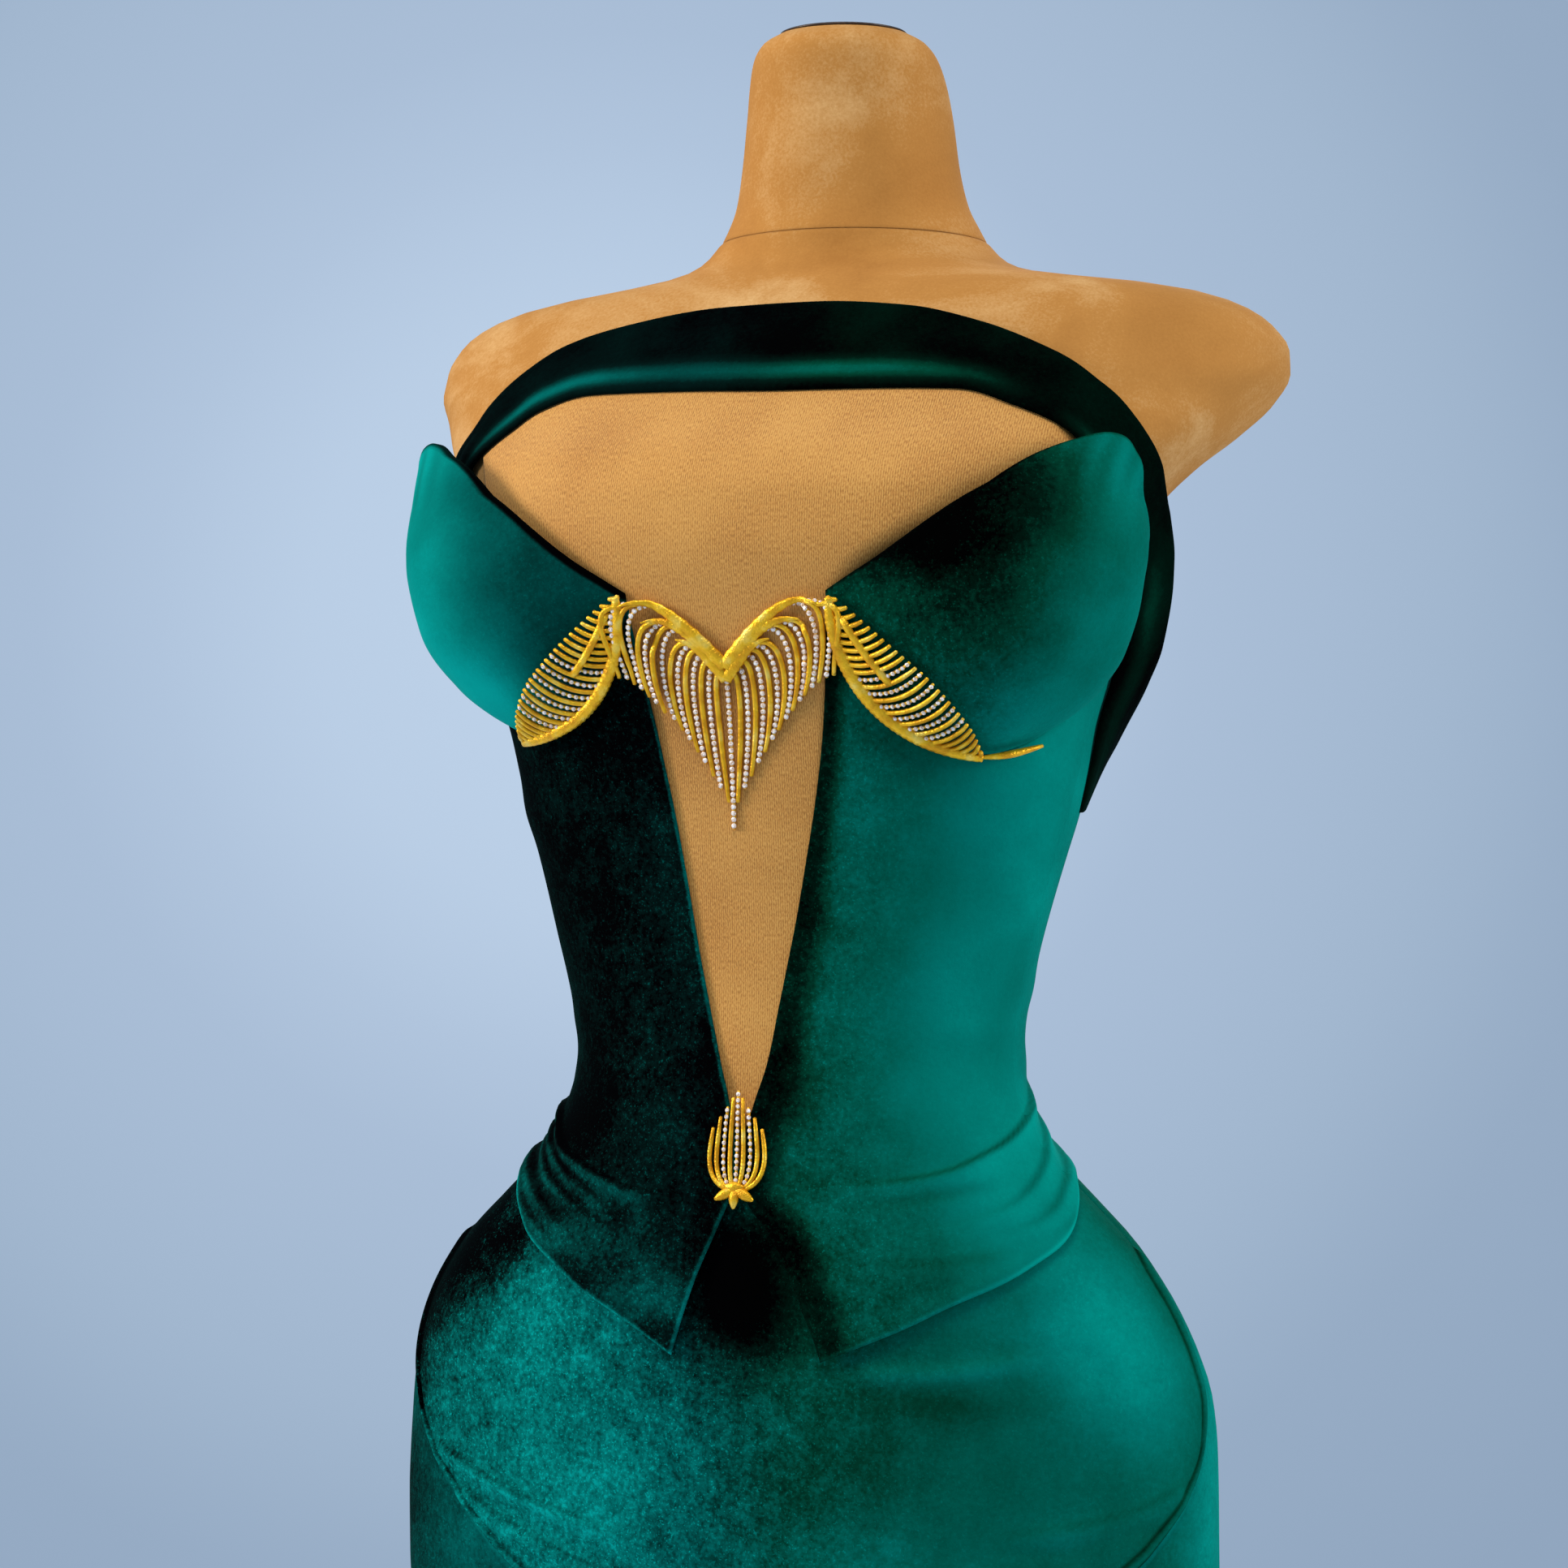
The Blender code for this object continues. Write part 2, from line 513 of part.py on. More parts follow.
def finish(name, verts, faces, material, smooth_angle=40.0):
    """One closed mesh object with outward faces."""
    mesh = bpy.data.meshes.new(name)
    mesh.from_pydata([tuple(v) for v in verts], [], [tuple(f) for f in faces])
    work = bmesh.new()
    work.from_mesh(mesh)
    bmesh.ops.recalc_face_normals(work, faces=work.faces)
    work.to_mesh(mesh)
    work.free()
    mesh.shade_smooth()
    mesh.set_sharp_from_angle(angle=math.radians(smooth_angle))
    mesh.materials.append(MATERIALS[material])
    thing = bpy.data.objects.new(name, mesh)
    bpy.context.scene.collection.objects.link(thing)
    return thing


def wall(name, outside, inside, cells, material):
    """A wall between two copies of the same cells, closed along every open edge."""
    count = len(outside)
    faces = [tuple(cell) for cell in cells]
    faces += [tuple(reversed([v + count for v in cell])) for cell in cells]
    used = {}
    for cell in cells:
        for a, b in zip(cell, tuple(cell[1:]) + (cell[0],)):
            used.setdefault((min(a, b), max(a, b)), []).append((a, b))
    for sides in used.values():
        if len(sides) == 1:
            a, b = sides[0]
            faces.append((b, a, a + count, b + count))
    return finish(name, np.concatenate([outside, inside]), faces, material)


def grid_cells(rows, columns):
    """Quads of a grid of rows by columns of points."""
    cells = []
    for row in range(rows - 1):
        for column in range(columns - 1):
            first = row * columns + column
            cells.append((first, first + 1, first + columns + 1, first + columns))
    return cells


def cloth(name, grid, lift, material="velvet", thickness=VELVET_WALL):
    """A cloth piece on a grid of (angle, height), its inside at a lift from the form."""
    angle, height = grid[..., 0], grid[..., 1]
    lift = np.broadcast_to(np.asarray(lift, float), angle.shape)
    inside = lifted(angle, height, lift).reshape(-1, 3)
    outside = lifted(angle, height, lift + thickness).reshape(-1, 3)
    return wall(name, outside, inside, grid_cells(*angle.shape), material)


def stacked(name, rings, material, smooth_angle=40.0):
    """A solid through closed rings of equal count, bottom to top."""
    sides = len(rings[0])
    verts = np.concatenate(rings)
    faces = []
    for row in range(len(rings) - 1):
        for side in range(sides):
            other = (side + 1) % sides
            low, high = row * sides, (row + 1) * sides
            faces.append((low + side, low + other, high + other, high + side))
    faces.append(tuple(reversed(range(sides))))
    faces.append(tuple(range(len(verts) - sides, len(verts))))
    return finish(name, verts, faces, material, smooth_angle)


def ring(radius, height, sides, centre_y=0.0):
    """Points of a level circle."""
    turn = np.linspace(0.0, 2.0 * math.pi, sides, endpoint=False)
    level = np.full(sides, height)
    return np.stack([radius * np.sin(turn), centre_y - radius * np.cos(turn), level], axis=-1)


def make_material(name, colour, roughness, metallic):
    """Plain material for one slot."""
    material = bpy.data.materials.new(name)
    material.use_nodes = True
    shader = material.node_tree.nodes["Principled BSDF"]
    shader.inputs["Base Color"].default_value = (*colour, 1.0)
    shader.inputs["Roughness"].default_value = roughness
    shader.inputs["Metallic"].default_value = metallic
    return material


def make_form():
    """Torso of the dress form with shoulder caps, then the neck and its cap."""
    angles = np.linspace(-180.0, 180.0, FORM_SIDES, endpoint=False)
    rings = []
    for height in FORM_HEIGHTS:
        ease = FORM_EASE * (1.0 - step_up(height, 1.300, 1.360))
        rings.append(lifted(angles, np.full(FORM_SIDES, height), -ease))
    lowest = rings[0]
    middle = lowest.mean(axis=0)
    for share, drop in FORM_UNDERSIDE:
        under = middle + (lowest - middle) * share
        under[:, 2] = FORM_BOTTOM - drop
        rings.insert(0, under)
    stacked("form_body", rings, "suede", 60.0)
    neck = [ring(radius, height, NECK_SIDES, centre) for height, radius, centre in NECK_PROFILE]
    stacked("form_neck", neck, "suede", 60.0)
    top, _, centre = NECK_PROFILE[-1]
    cap = [ring(radius, top + TOUCH_GAP + up, NECK_SIDES, centre) for radius, up in CAP_PROFILE]
    stacked("form_neck_cap", cap, "cap")


def make_stand():
    """Round base with a collar, and the pole with the flange that carries the form."""
    collar_top = BASE_HEIGHT + COLLAR_HEIGHT
    base = (
        (BASE_RADIUS - 0.003, 0.0),
        (BASE_RADIUS, 0.003),
        (BASE_RADIUS, 0.010),
        (BASE_RADIUS - 0.006, 0.015),
        (BASE_RADIUS - 0.020, BASE_HEIGHT),
        (COLLAR_RADIUS + 0.008, BASE_HEIGHT + 0.002),
        (COLLAR_RADIUS, BASE_HEIGHT + 0.010),
        (COLLAR_RADIUS - 0.006, collar_top - 0.004),
        (COLLAR_RADIUS - 0.009, collar_top),
    )
    stacked("stand_base", [ring(radius, height, 36) for radius, height in base], "steel")
    form_underside = FORM_BOTTOM - FORM_UNDERSIDE[-1][1]
    flange_top = form_underside - TOUCH_GAP
    flange_bottom = flange_top - FLANGE_HEIGHT
    pole = (
        (POLE_RADIUS, collar_top + TOUCH_GAP),
        (POLE_RADIUS, flange_bottom - 0.016),
        (POLE_RADIUS + 0.010, flange_bottom),
        (FLANGE_RADIUS, flange_bottom),
        (FLANGE_RADIUS, flange_top),
    )
    stacked("stand_pole", [ring(radius, height, 18) for radius, height in pole], "steel")


def make_cups():
    """Moulded cups, open along their upper edges."""
    turns = np.array(CUP_COLUMNS)
    for side, sign in SIDES:
        low, high, _ = cup_outline(turns, side)
        heights = low + (high - low) * np.array(CUP_ROWS)[::-1, None]
        grid = inset_edges(np.stack([np.broadcast_to(turns * sign, heights.shape), heights], axis=-1))
        cloth("cup_" + side, grid, cup_lift(grid[..., 0], grid[..., 1], side), thickness=CUP_WALL)


def make_bodice():
    """Front and back panels that run unbroken from the cups to the peplum's hem."""
    rows = np.array(BODICE_ROWS)
    turns = np.array(CUP_COLUMNS)
    across = (turns - turns[0]) / (turns[-1] - turns[0])
    back_across = np.linspace(0.0, 1.0, BODICE_BACK_COLUMNS)
    for side, sign in SIDES:
        low, _, _ = cup_outline(turns, side)
        hem = PEPLUM_HEMS[side]
        side_height = rows[0, 1] - shares_of(rows[:, 1]) * (rows[0, 1] - hem[-1][1])
        side_seam = np.stack([np.full(len(rows), sign * SIDE_SEAM), side_height], axis=-1)
        slit = np.stack([angle_at(SLIT_EDGES[side], rows[:, 0]), rows[:, 0]], axis=-1)
        top = np.stack([sign * turns, low], axis=-1)
        bottom = along_path(hem, across)
        down = (shares_of(rows[:, 0]) + shares_of(rows[:, 1])) / 2.0
        grid = inset_edges(patch(top, bottom, slit, side_seam, across, down))
        cloth("bodice_front_" + side, grid, bodice_lift(grid[..., 0], grid[..., 1]))

        back_top = [(sign * angle, height) for angle, height in BACK_TOP]
        back_hem = [hem[-1]] + [(sign * angle, height) for angle, height in BACK_HEM]
        side_seam = np.concatenate([[back_top[0]], side_seam])
        centre = np.stack([np.full(len(rows), sign * CENTRE_BACK), rows[:, 2]], axis=-1)
        centre = np.concatenate([[back_top[-1]], centre])
        top = along_path(back_top, back_across)
        bottom = along_path(back_hem, back_across)
        down = (shares_of(side_seam[:, 1]) + shares_of(centre[:, 1])) / 2.0
        grid = inset_edges(patch(top, bottom, side_seam, centre, back_across, down))
        cloth("bodice_back_" + side, grid, bodice_lift(grid[..., 0], grid[..., 1]))


def make_strap():
    """Velvet band over the chest that stands off the wearer's left side as a loop."""
    rows = np.array(STRAP_EDGES)
    step = np.hypot(np.diff(rows[:, 0]) * METRES_PER_DEGREE, np.diff(rows[:, 1]))
    length = np.concatenate([[0.0], np.cumsum(step)])
    line = smooth(length / length[-1], rows, np.linspace(0.0, 1.0, STRAP_COLUMNS))
    widths = np.array([0.0, 0.5, 1.0])[None, :, None]
    band = line[:, None, :3] + (line[:, None, 3:] - line[:, None, :3]) * widths
    crown = STRAP_CROWN * (1.0 - (2.0 * widths[..., 0] - 1.0) ** 2)
    cloth("neck_strap", band[..., :2], band[..., 2] + crown)


def make_mesh_insert():
    """Sheer panel behind the slit, on the form."""
    across = np.linspace(0.0, 1.0, MESH_COLUMNS)
    down = np.linspace(0.0, 1.0, MESH_ROWS)
    left = along_path(MESH_SIDE, down)
    right = left * np.array([-1.0, 1.0])
    top = along_path(MESH_TOP, across)
    top[0], top[-1] = right[0], left[0]
    bottom = right[-1] + (left[-1] - right[-1]) * across[:, None]
    cloth("mesh_insert", patch(top, bottom, right, left, across, down), MESH_LIFT, "mesh", MESH_WALL)


def skirt_lift(height):
    """Distance from the form to the inside of the skirt, which meets the bodice at the top."""
    return SKIRT_LIFT + SKIRT_JOIN * step_up(height, 0.980, 1.006)


def make_skirt():
    """Draped hip panel with a rolled edge, the front below it and two back panels."""
    hips = np.array(HIP_ROWS)
    columns = np.array(DRAPE_COLUMNS)
    right_edge = np.stack([angle_at(DRAPE_RIGHT_EDGE, hips[:, 0]), hips[:, 0]], axis=-1)
    left_edge = np.stack([angle_at(DRAPE_LEFT_EDGE, hips[:, 1]), hips[:, 1]], axis=-1)
    right_curve = along_path(DRAPE_RIGHT_CURVE, columns)
    left_curve = along_path(DRAPE_LEFT_CURVE, columns)
    curve = np.concatenate([right_curve, left_curve[-2::-1]])
    across = np.concatenate([columns / 2.0, 1.0 - columns[-2::-1] / 2.0])
    top = right_edge[0] + (left_edge[0] - right_edge[0]) * across[:, None]

    # One more row just inside the lower edge carries the roll
    near = right_edge[-2] * ROLL_SHARE + right_edge[-1] * (1.0 - ROLL_SHARE)
    drape_right = np.insert(right_edge, -1, near, axis=0)
    near = left_edge[-2] * ROLL_SHARE + left_edge[-1] * (1.0 - ROLL_SHARE)
    drape_left = np.insert(left_edge, -1, near, axis=0)
    down = shares_of(drape_right[:, 1])
    down[-2] = 1.0 - ROLL_SHARE
    grid = inset_edges(patch(top, curve, drape_right, drape_left, across, down))
    roll = np.zeros(grid.shape[:2])
    roll[3:, 1] = DRAPE_ROLL
    roll[3:, -2] = DRAPE_ROLL
    roll[-2, 1:-1] = DRAPE_ROLL
    cloth("skirt_front_drape", grid, skirt_lift(grid[..., 1]) + roll)

    fall = np.array(SKIRT_FALL)
    heights = SKIRT_TOP + (HEM_HEIGHT - SKIRT_TOP) * fall
    edge = np.concatenate([right_edge[:-1], curve, left_edge[-2::-1]])
    step = np.linalg.norm(np.diff(edge, axis=0) * np.array([METRES_PER_DEGREE, 1.0]), axis=1)
    along = np.concatenate([[0.0], np.cumsum(step)]) / step.sum()
    edge_across = np.concatenate([[0.0], 0.012 + 0.976 * along, [1.0]])
    corner_right, corner_left = (-SKIRT_SEAM, SKIRT_TOP), (SKIRT_SEAM, SKIRT_TOP)
    top = np.concatenate([[corner_right], edge, [corner_left]])
    hem = np.stack([SKIRT_SEAM * (2.0 * edge_across - 1.0), np.full(len(top), HEM_HEIGHT)], axis=-1)
    right_seam = np.stack([np.full(len(fall), -SKIRT_SEAM), heights], axis=-1)
    left_seam = np.stack([np.full(len(fall), SKIRT_SEAM), heights], axis=-1)
    grid = inset_edges(patch(top, hem, right_seam, left_seam, edge_across, fall))
    cloth("skirt_front", grid, skirt_lift(grid[..., 1]))

    back_across = np.linspace(SKIRT_SEAM, CENTRE_BACK, SKIRT_BACK_COLUMNS)
    for side, sign in SIDES:
        grid = inset_edges(np.stack(np.meshgrid(sign * back_across, heights), axis=-1))
        cloth("skirt_back_" + side, grid, skirt_lift(grid[..., 1]))


def comb(roots, lines, band, bar_width):
    """Flat comb seen from the front: a band along the roots and a bar from each root.

    roots and band are [n, 2] and lines is [n, m, 2], each bar's middle line from its root.
    """
    tangent = np.gradient(roots, axis=0)
    tangent /= np.linalg.norm(tangent, axis=1, keepdims=True)
    points, cells, before = [], [], None
    for root, line, reach, along in zip(roots, lines, band, tangent):
        base = len(points)
        half = along * bar_width / 2.0
        points += [root - half + reach, root + half + reach, root - half, root + half]
        cells.append((base, base + 1, base + 3, base + 2))
        if before is not None:
            cells.append((before + 1, base, base + 2, before + 3))
        direction = np.gradient(line, axis=0)
        direction /= np.linalg.norm(direction, axis=1, keepdims=True)
        across = np.stack([-direction[:, 1], direction[:, 0]], axis=-1)
        across *= np.sign(across @ along)[:, None]
        left, right = base + 2, base + 3
        for point, side in zip(line[1:], across[1:]):
            points += [point - side * bar_width / 2.0, point + side * bar_width / 2.0]
            cells.append((left, right, len(points) - 1, len(points) - 2))
            left, right = len(points) - 2, len(points) - 1
        before = base
    return np.array(points), cells


def front_to_body(points):
    """(x, height) seen from the front, in metres, to (angle, height)."""
    turns = np.linspace(-88.0, 88.0, 353)
    result = []
    for x, height in points:
        across = on_body(turns, np.full(len(turns), height))[:, 0]
        result.append((np.interp(x, across, turns), height))
    return np.array(result)


def seat_on(angle, height, panels, least):
    """Distance from the form at which points rest on the panels' outer faces."""
    foot = on_body(angle, height)
    out = outward(angle, height)
    lift = np.full(len(angle), least)
    for panel in panels:
        tree = BVHTree.FromObject(bpy.data.objects[panel], bpy.context.evaluated_depsgraph_get())
        for i in range(len(angle)):
            start = Vector(foot[i] + out[i] * SEAT_REACH)
            hit = tree.ray_cast(start, Vector(-out[i]), SEAT_REACH)
            if hit[0] is not None:
                lift[i] = max(lift[i], SEAT_REACH - hit[3])
    return lift


def trim(name, points, cells, panels, clearance, least, flatten=0.0):
    """A metal trim on the outer points of the panels below it, moved out."""
    placed = front_to_body(points)
    angle, height = placed[:, 0], placed[:, 1]
    lift = seat_on(angle, height, panels, least) + clearance
    if flatten:
        apart = np.linalg.norm(points[:, None] - points[None], axis=-1)
        lift = np.where(apart < flatten, lift[None], 0.0).max(axis=1)
    inside = lifted(angle, height, lift)
    outside = lifted(angle, height, lift + TRIM_WALL)
    return wall(name, outside, inside, cells, "gold")


def bar_lines(roots, tips, sway, pieces):
    """Middle lines of bars from roots to tips, swayed sideways by a half wave."""
    shares = np.linspace(0.0, 1.0, pieces + 1)
    lines = roots[:, None] + (tips - roots)[:, None] * shares[None, :, None]
    run = tips - roots
    square = np.stack([-run[:, 1], run[:, 0]], axis=-1) / np.linalg.norm(run, axis=1, keepdims=True)
    return lines + square[:, None] * (sway[:, None] * np.sin(shares * math.pi))[..., None]


def make_fan():
    """Heart of hanging bars between the cups: two arms meet in a point, tips on two slopes."""
    share = np.arange(-FAN_BARS_A_SIDE, FAN_BARS_A_SIDE + 1) / FAN_BARS_A_SIDE
    out = np.abs(share)
    arm = FAN_POINT + FAN_ARM_RISE * out ** 0.75 - 0.003 * out ** 4
    roots = np.stack([FAN_HALF_WIDTH * share, arm], axis=-1)
    slope = FAN_TIP + FAN_TIP_RISE * out ** 0.62
    tips = np.stack([FAN_HALF_WIDTH * share * (1.05 - 0.12 * out), slope], axis=-1)
    lines = bar_lines(roots, tips, -0.0022 * share, 3)
    band = np.stack([np.zeros(len(share)), np.full(len(share), 0.0032)], axis=-1)
    points, cells = comb(roots, lines, band, BAR_WIDTH)
    panels = ("mesh_insert", "bodice_front_right", "bodice_front_left", "cup_right", "cup_left")
    trim("fan_trim", points, cells, panels, 0.0007, 0.0, 0.012)


def make_wings():
    """Feather of tines along each cup's lower seam; the left one ends in a straight tail."""
    share = np.linspace(0.0, 1.0, WING_TINES)
    turns = WING_START + (WING_END - WING_START) * share
    reach = WING_REACH * np.sin(math.pi * (0.14 + 0.76 * share)) ** 0.8
    lean = np.radians(WING_LEAN[0] + (WING_LEAN[1] - WING_LEAN[0]) * share)
    band = np.repeat([[-0.0016, -0.0024]], WING_TINES, axis=0)
    for side, sign in SIDES:
        low, _, _ = cup_outline(turns, side)
        spine = np.stack([on_body(turns, low)[:, 0], low - 0.0015], axis=-1)
        tips = spine + reach[:, None] * np.stack([np.cos(lean), np.sin(lean)], axis=-1)
        if side == "left":
            tips[-1] = spine[-1] + WING_TAIL
        lines = bar_lines(spine, tips, np.full(WING_TINES, -0.0012), 3)
        points, cells = comb(spine, lines, band, WING_BAR)
        panels = ("bodice_front_" + side, "cup_" + side)
        trim("wing_trim_" + side, points * np.array([sign, 1.0]), cells, panels, 0.0009, 0.0, 0.006)


def make_brooch():
    """Tulip of tines on a small base, over the end of the slit."""
    share = np.linspace(-1.0, 1.0, BROOCH_TINES)
    roots = np.stack([0.0105 * share, 0.9985 + 0.0020 * share ** 2], axis=-1)
    tips = np.stack([0.0128 * share, 1.0440 - 0.0130 * np.abs(share) ** 1.3], axis=-1)
    lines = bar_lines(roots, tips, -0.0030 * share, 2)
    band = np.stack([np.zeros(BROOCH_TINES), -0.0080 + 0.0035 * np.abs(share)], axis=-1)
    points, cells = comb(roots, lines, band, 0.0014)
    trim("waist_brooch", points, cells, ("bodice_front_right", "bodice_front_left"), 0.0005, 0.0, 0.05)


def placed_box(centre, across, depth, length, size):
    """Corner points and faces of a box along three unit directions."""
    verts = []
    for c in (-0.5, 0.5):
        for b in (-0.5, 0.5):
            for a in (-0.5, 0.5):
                verts.append(centre + across * size[0] * a + depth * size[1] * b + length * size[2] * c)
    faces = [(0, 2, 3, 1), (4, 5, 7, 6), (0, 1, 5, 4), (1, 3, 7, 5), (3, 2, 6, 7), (2, 0, 4, 6)]
    return verts, faces


def make_zip():
    """Slider at the top of the centre back seam, and the pull that hangs from its ears."""
    turn, height = np.array(CENTRE_BACK), np.array(ZIP_TOP)
    depth = outward(turn, height)
    across = np.array([1.0, 0.0, 0.0])
    length = np.cross(depth, across)
    if length[2] < 0.0:
        length = -length
    seat = on_body(turn, height) + depth * (BODICE_LIFT + VELVET_WALL + TOUCH_GAP)
    width, thick, _ = SLIDER_SIZE
    plate = placed_box(seat + depth * thick / 2, across, depth, length, SLIDER_SIZE)
    slider = finish("zip_slider", *plate, "zip")
    axis = seat + depth * (thick + EAR_SIZE[1] / 2) + length * 0.0018
    ear_size = (EAR_SIZE[0], EAR_SIZE[1] + 0.0004, EAR_SIZE[2])
    for index, sign in enumerate((-1.0, 1.0)):
        middle = axis + across * sign * (width - EAR_SIZE[0]) / 2 - depth * 0.0002
        ear = finish("ear_%d" % index, *placed_box(middle, across, depth, length, ear_size), "zip")
        ear.hide_render = True
        join = slider.modifiers.new("ear_%d" % index, "BOOLEAN")
        join.operation = "UNION"
        join.object = ear
    inner = width / 2 - EAR_SIZE[0] - 0.0002
    half = PULL_WIDTH / 2
    right = [(inner, 0.0009), (inner, -0.0012), (0.0013, -0.0040), (half, -0.0160)]
    right += [(half, -PULL_LENGTH + 0.002), (half - 0.001, -PULL_LENGTH)]
    outline = right + [(-x, z) for x, z in reversed(right)]
    count = len(outline)
    verts = [(x, y, z) for y in (-PULL_WALL / 2, PULL_WALL / 2) for x, z in outline]
    faces = [tuple(range(count)), tuple(reversed(range(count, 2 * count)))]
    faces += [(i, i + count, (i + 1) % count + count, (i + 1) % count) for i in range(count)]
    pull = finish("zip_pull", verts, faces, "zip")
    pull.location = axis


for old in list(bpy.data.objects):
    bpy.data.objects.remove(old)
MATERIALS = {name: make_material(name, *values) for name, values in COLOURS.items()}
make_form()
make_stand()
make_mesh_insert()
make_bodice()
make_cups()
make_strap()
make_skirt()
make_fan()
make_wings()
make_brooch()
make_zip()
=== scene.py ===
import math
import bpy
import numpy as np
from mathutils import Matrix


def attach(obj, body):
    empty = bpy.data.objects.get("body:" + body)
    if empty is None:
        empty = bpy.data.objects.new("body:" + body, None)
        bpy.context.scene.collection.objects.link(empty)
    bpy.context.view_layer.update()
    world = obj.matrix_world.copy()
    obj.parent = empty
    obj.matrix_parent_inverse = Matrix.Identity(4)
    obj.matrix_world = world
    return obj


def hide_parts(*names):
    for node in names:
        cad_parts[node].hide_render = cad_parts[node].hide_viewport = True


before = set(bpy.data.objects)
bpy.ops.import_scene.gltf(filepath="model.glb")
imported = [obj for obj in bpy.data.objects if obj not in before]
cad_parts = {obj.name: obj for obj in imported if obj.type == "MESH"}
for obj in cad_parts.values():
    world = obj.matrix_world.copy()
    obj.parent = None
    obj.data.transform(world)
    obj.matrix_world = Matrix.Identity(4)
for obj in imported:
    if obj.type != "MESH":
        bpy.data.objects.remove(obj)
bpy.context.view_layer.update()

# Velvet gown on a limbless dress form. Metres, +Z up, the gown's front faces -Y.
# A point of the body is an angle in degrees (0 front, +90 the wearer's left) and a height.
bodyName = "gown_and_form"
print("frame loaded:", len(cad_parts), "nodes")

# height, half width, centre y, front y, back y, squareness of the front
bodyRings = np.array([
    (0.008, 0.2860, 0.024, -0.240, 0.286, 2.00), (0.080, 0.2590, 0.020, -0.212, 0.248, 2.00),
    (0.160, 0.2280, 0.016, -0.178, 0.206, 2.00), (0.240, 0.2000, 0.013, -0.144, 0.166, 2.00),
    (0.320, 0.1790, 0.010, -0.116, 0.132, 2.00), (0.400, 0.1680, 0.008, -0.098, 0.112, 2.00),
    (0.480, 0.1680, 0.006, -0.090, 0.104, 2.00), (0.560, 0.1760, 0.005, -0.086, 0.106, 2.00),
    (0.630, 0.1860, 0.004, -0.085, 0.112, 2.00), (0.700, 0.1960, 0.003, -0.086, 0.120, 2.00),
    (0.760, 0.2030, 0.002, -0.088, 0.126, 2.00), (0.803, 0.2063, 0.001, -0.090, 0.130, 2.00),
    (0.836, 0.2061, 0.000, -0.091, 0.134, 2.00), (0.856, 0.2056, 0.001, -0.092, 0.135, 2.00),
    (0.876, 0.2047, 0.002, -0.092, 0.135, 2.00), (0.896, 0.2025, 0.001, -0.092, 0.132, 2.00),
    (0.916, 0.1970, -0.003, -0.091, 0.127, 2.00), (0.936, 0.1885, -0.006, -0.090, 0.120, 2.00),
    (0.952, 0.1790, -0.007, -0.089, 0.114, 2.00), (0.968, 0.1672, -0.006, -0.087, 0.107, 2.00),
    (0.984, 0.1515, -0.005, -0.085, 0.100, 2.00), (1.000, 0.1345, -0.005, -0.083, 0.093, 2.00),
    (1.016, 0.1208, -0.006, -0.081, 0.087, 2.00), (1.032, 0.1122, -0.006, -0.080, 0.083, 2.00),
    (1.044, 0.1090, -0.005, -0.079, 0.081, 2.00), (1.056, 0.1083, -0.004, -0.078, 0.080, 2.00),
    (1.076, 0.1100, -0.005, -0.076, 0.081, 2.00), (1.096, 0.1140, -0.007, -0.075, 0.084, 2.00),
    (1.116, 0.1190, -0.008, -0.075, 0.088, 2.00), (1.136, 0.1244, -0.007, -0.076, 0.092, 2.00),
    (1.156, 0.1300, -0.005, -0.078, 0.097, 2.05), (1.176, 0.1357, -0.003, -0.080, 0.103, 2.15),
    (1.196, 0.1400, 0.000, -0.083, 0.109, 2.25), (1.218, 0.1440, 0.001, -0.087, 0.115, 2.40),
    (1.245, 0.1520, 0.004, -0.094, 0.121, 2.60), (1.275, 0.1590, 0.010, -0.102, 0.127, 2.80),
    (1.305, 0.1660, 0.020, -0.107, 0.130, 2.80), (1.326, 0.1740, 0.031, -0.105, 0.131, 2.65),
    (1.344, 0.1880, 0.044, -0.097, 0.131, 2.40), (1.362, 0.2050, 0.066, -0.082, 0.141, 2.20),
    (1.378, 0.2175, 0.084, -0.068, 0.146, 2.10), (1.393, 0.2250, 0.088, -0.053, 0.150, 2.05),
    (1.405, 0.2245, 0.088, -0.042, 0.150, 2.00), (1.415, 0.2185, 0.085, -0.033, 0.150, 2.00),
    (1.422, 0.2110, 0.082, -0.026, 0.149, 2.00), (1.428, 0.2000, 0.080, -0.020, 0.148, 2.00),
    (1.432, 0.1890, 0.079, -0.016, 0.147, 2.00), (1.4352, 0.1760, 0.0780, -0.012, 0.146, 2.00),
    (1.4392, 0.1520, 0.0780, -0.006, 0.145, 2.00), (1.4428, 0.1229, 0.0780, -0.001, 0.145, 2.00),
    (1.4468, 0.1000, 0.0790, 0.003, 0.146, 2.00), (1.4512, 0.0860, 0.0795, 0.007, 0.147, 2.00),
    (1.4565, 0.0772, 0.0800, 0.0095, 0.148, 2.00), (1.465, 0.0690, 0.0805, 0.0115, 0.1495, 2.00),
])
# metres round the body that a degree stands for, along a path and between creases
metresPerDegree = 0.0026
creaseDegree = 0.0021
fluteSize = {"top": 0.46, "hem": 0.010, "depth": 0.013}
sides = (("right", -1.0), ("left", 1.0))


def joined(*values):
    # numbers and arrays side by side as the last axis, such as x, y and z of points
    return np.stack(np.broadcast_arrays(*values), axis=-1)


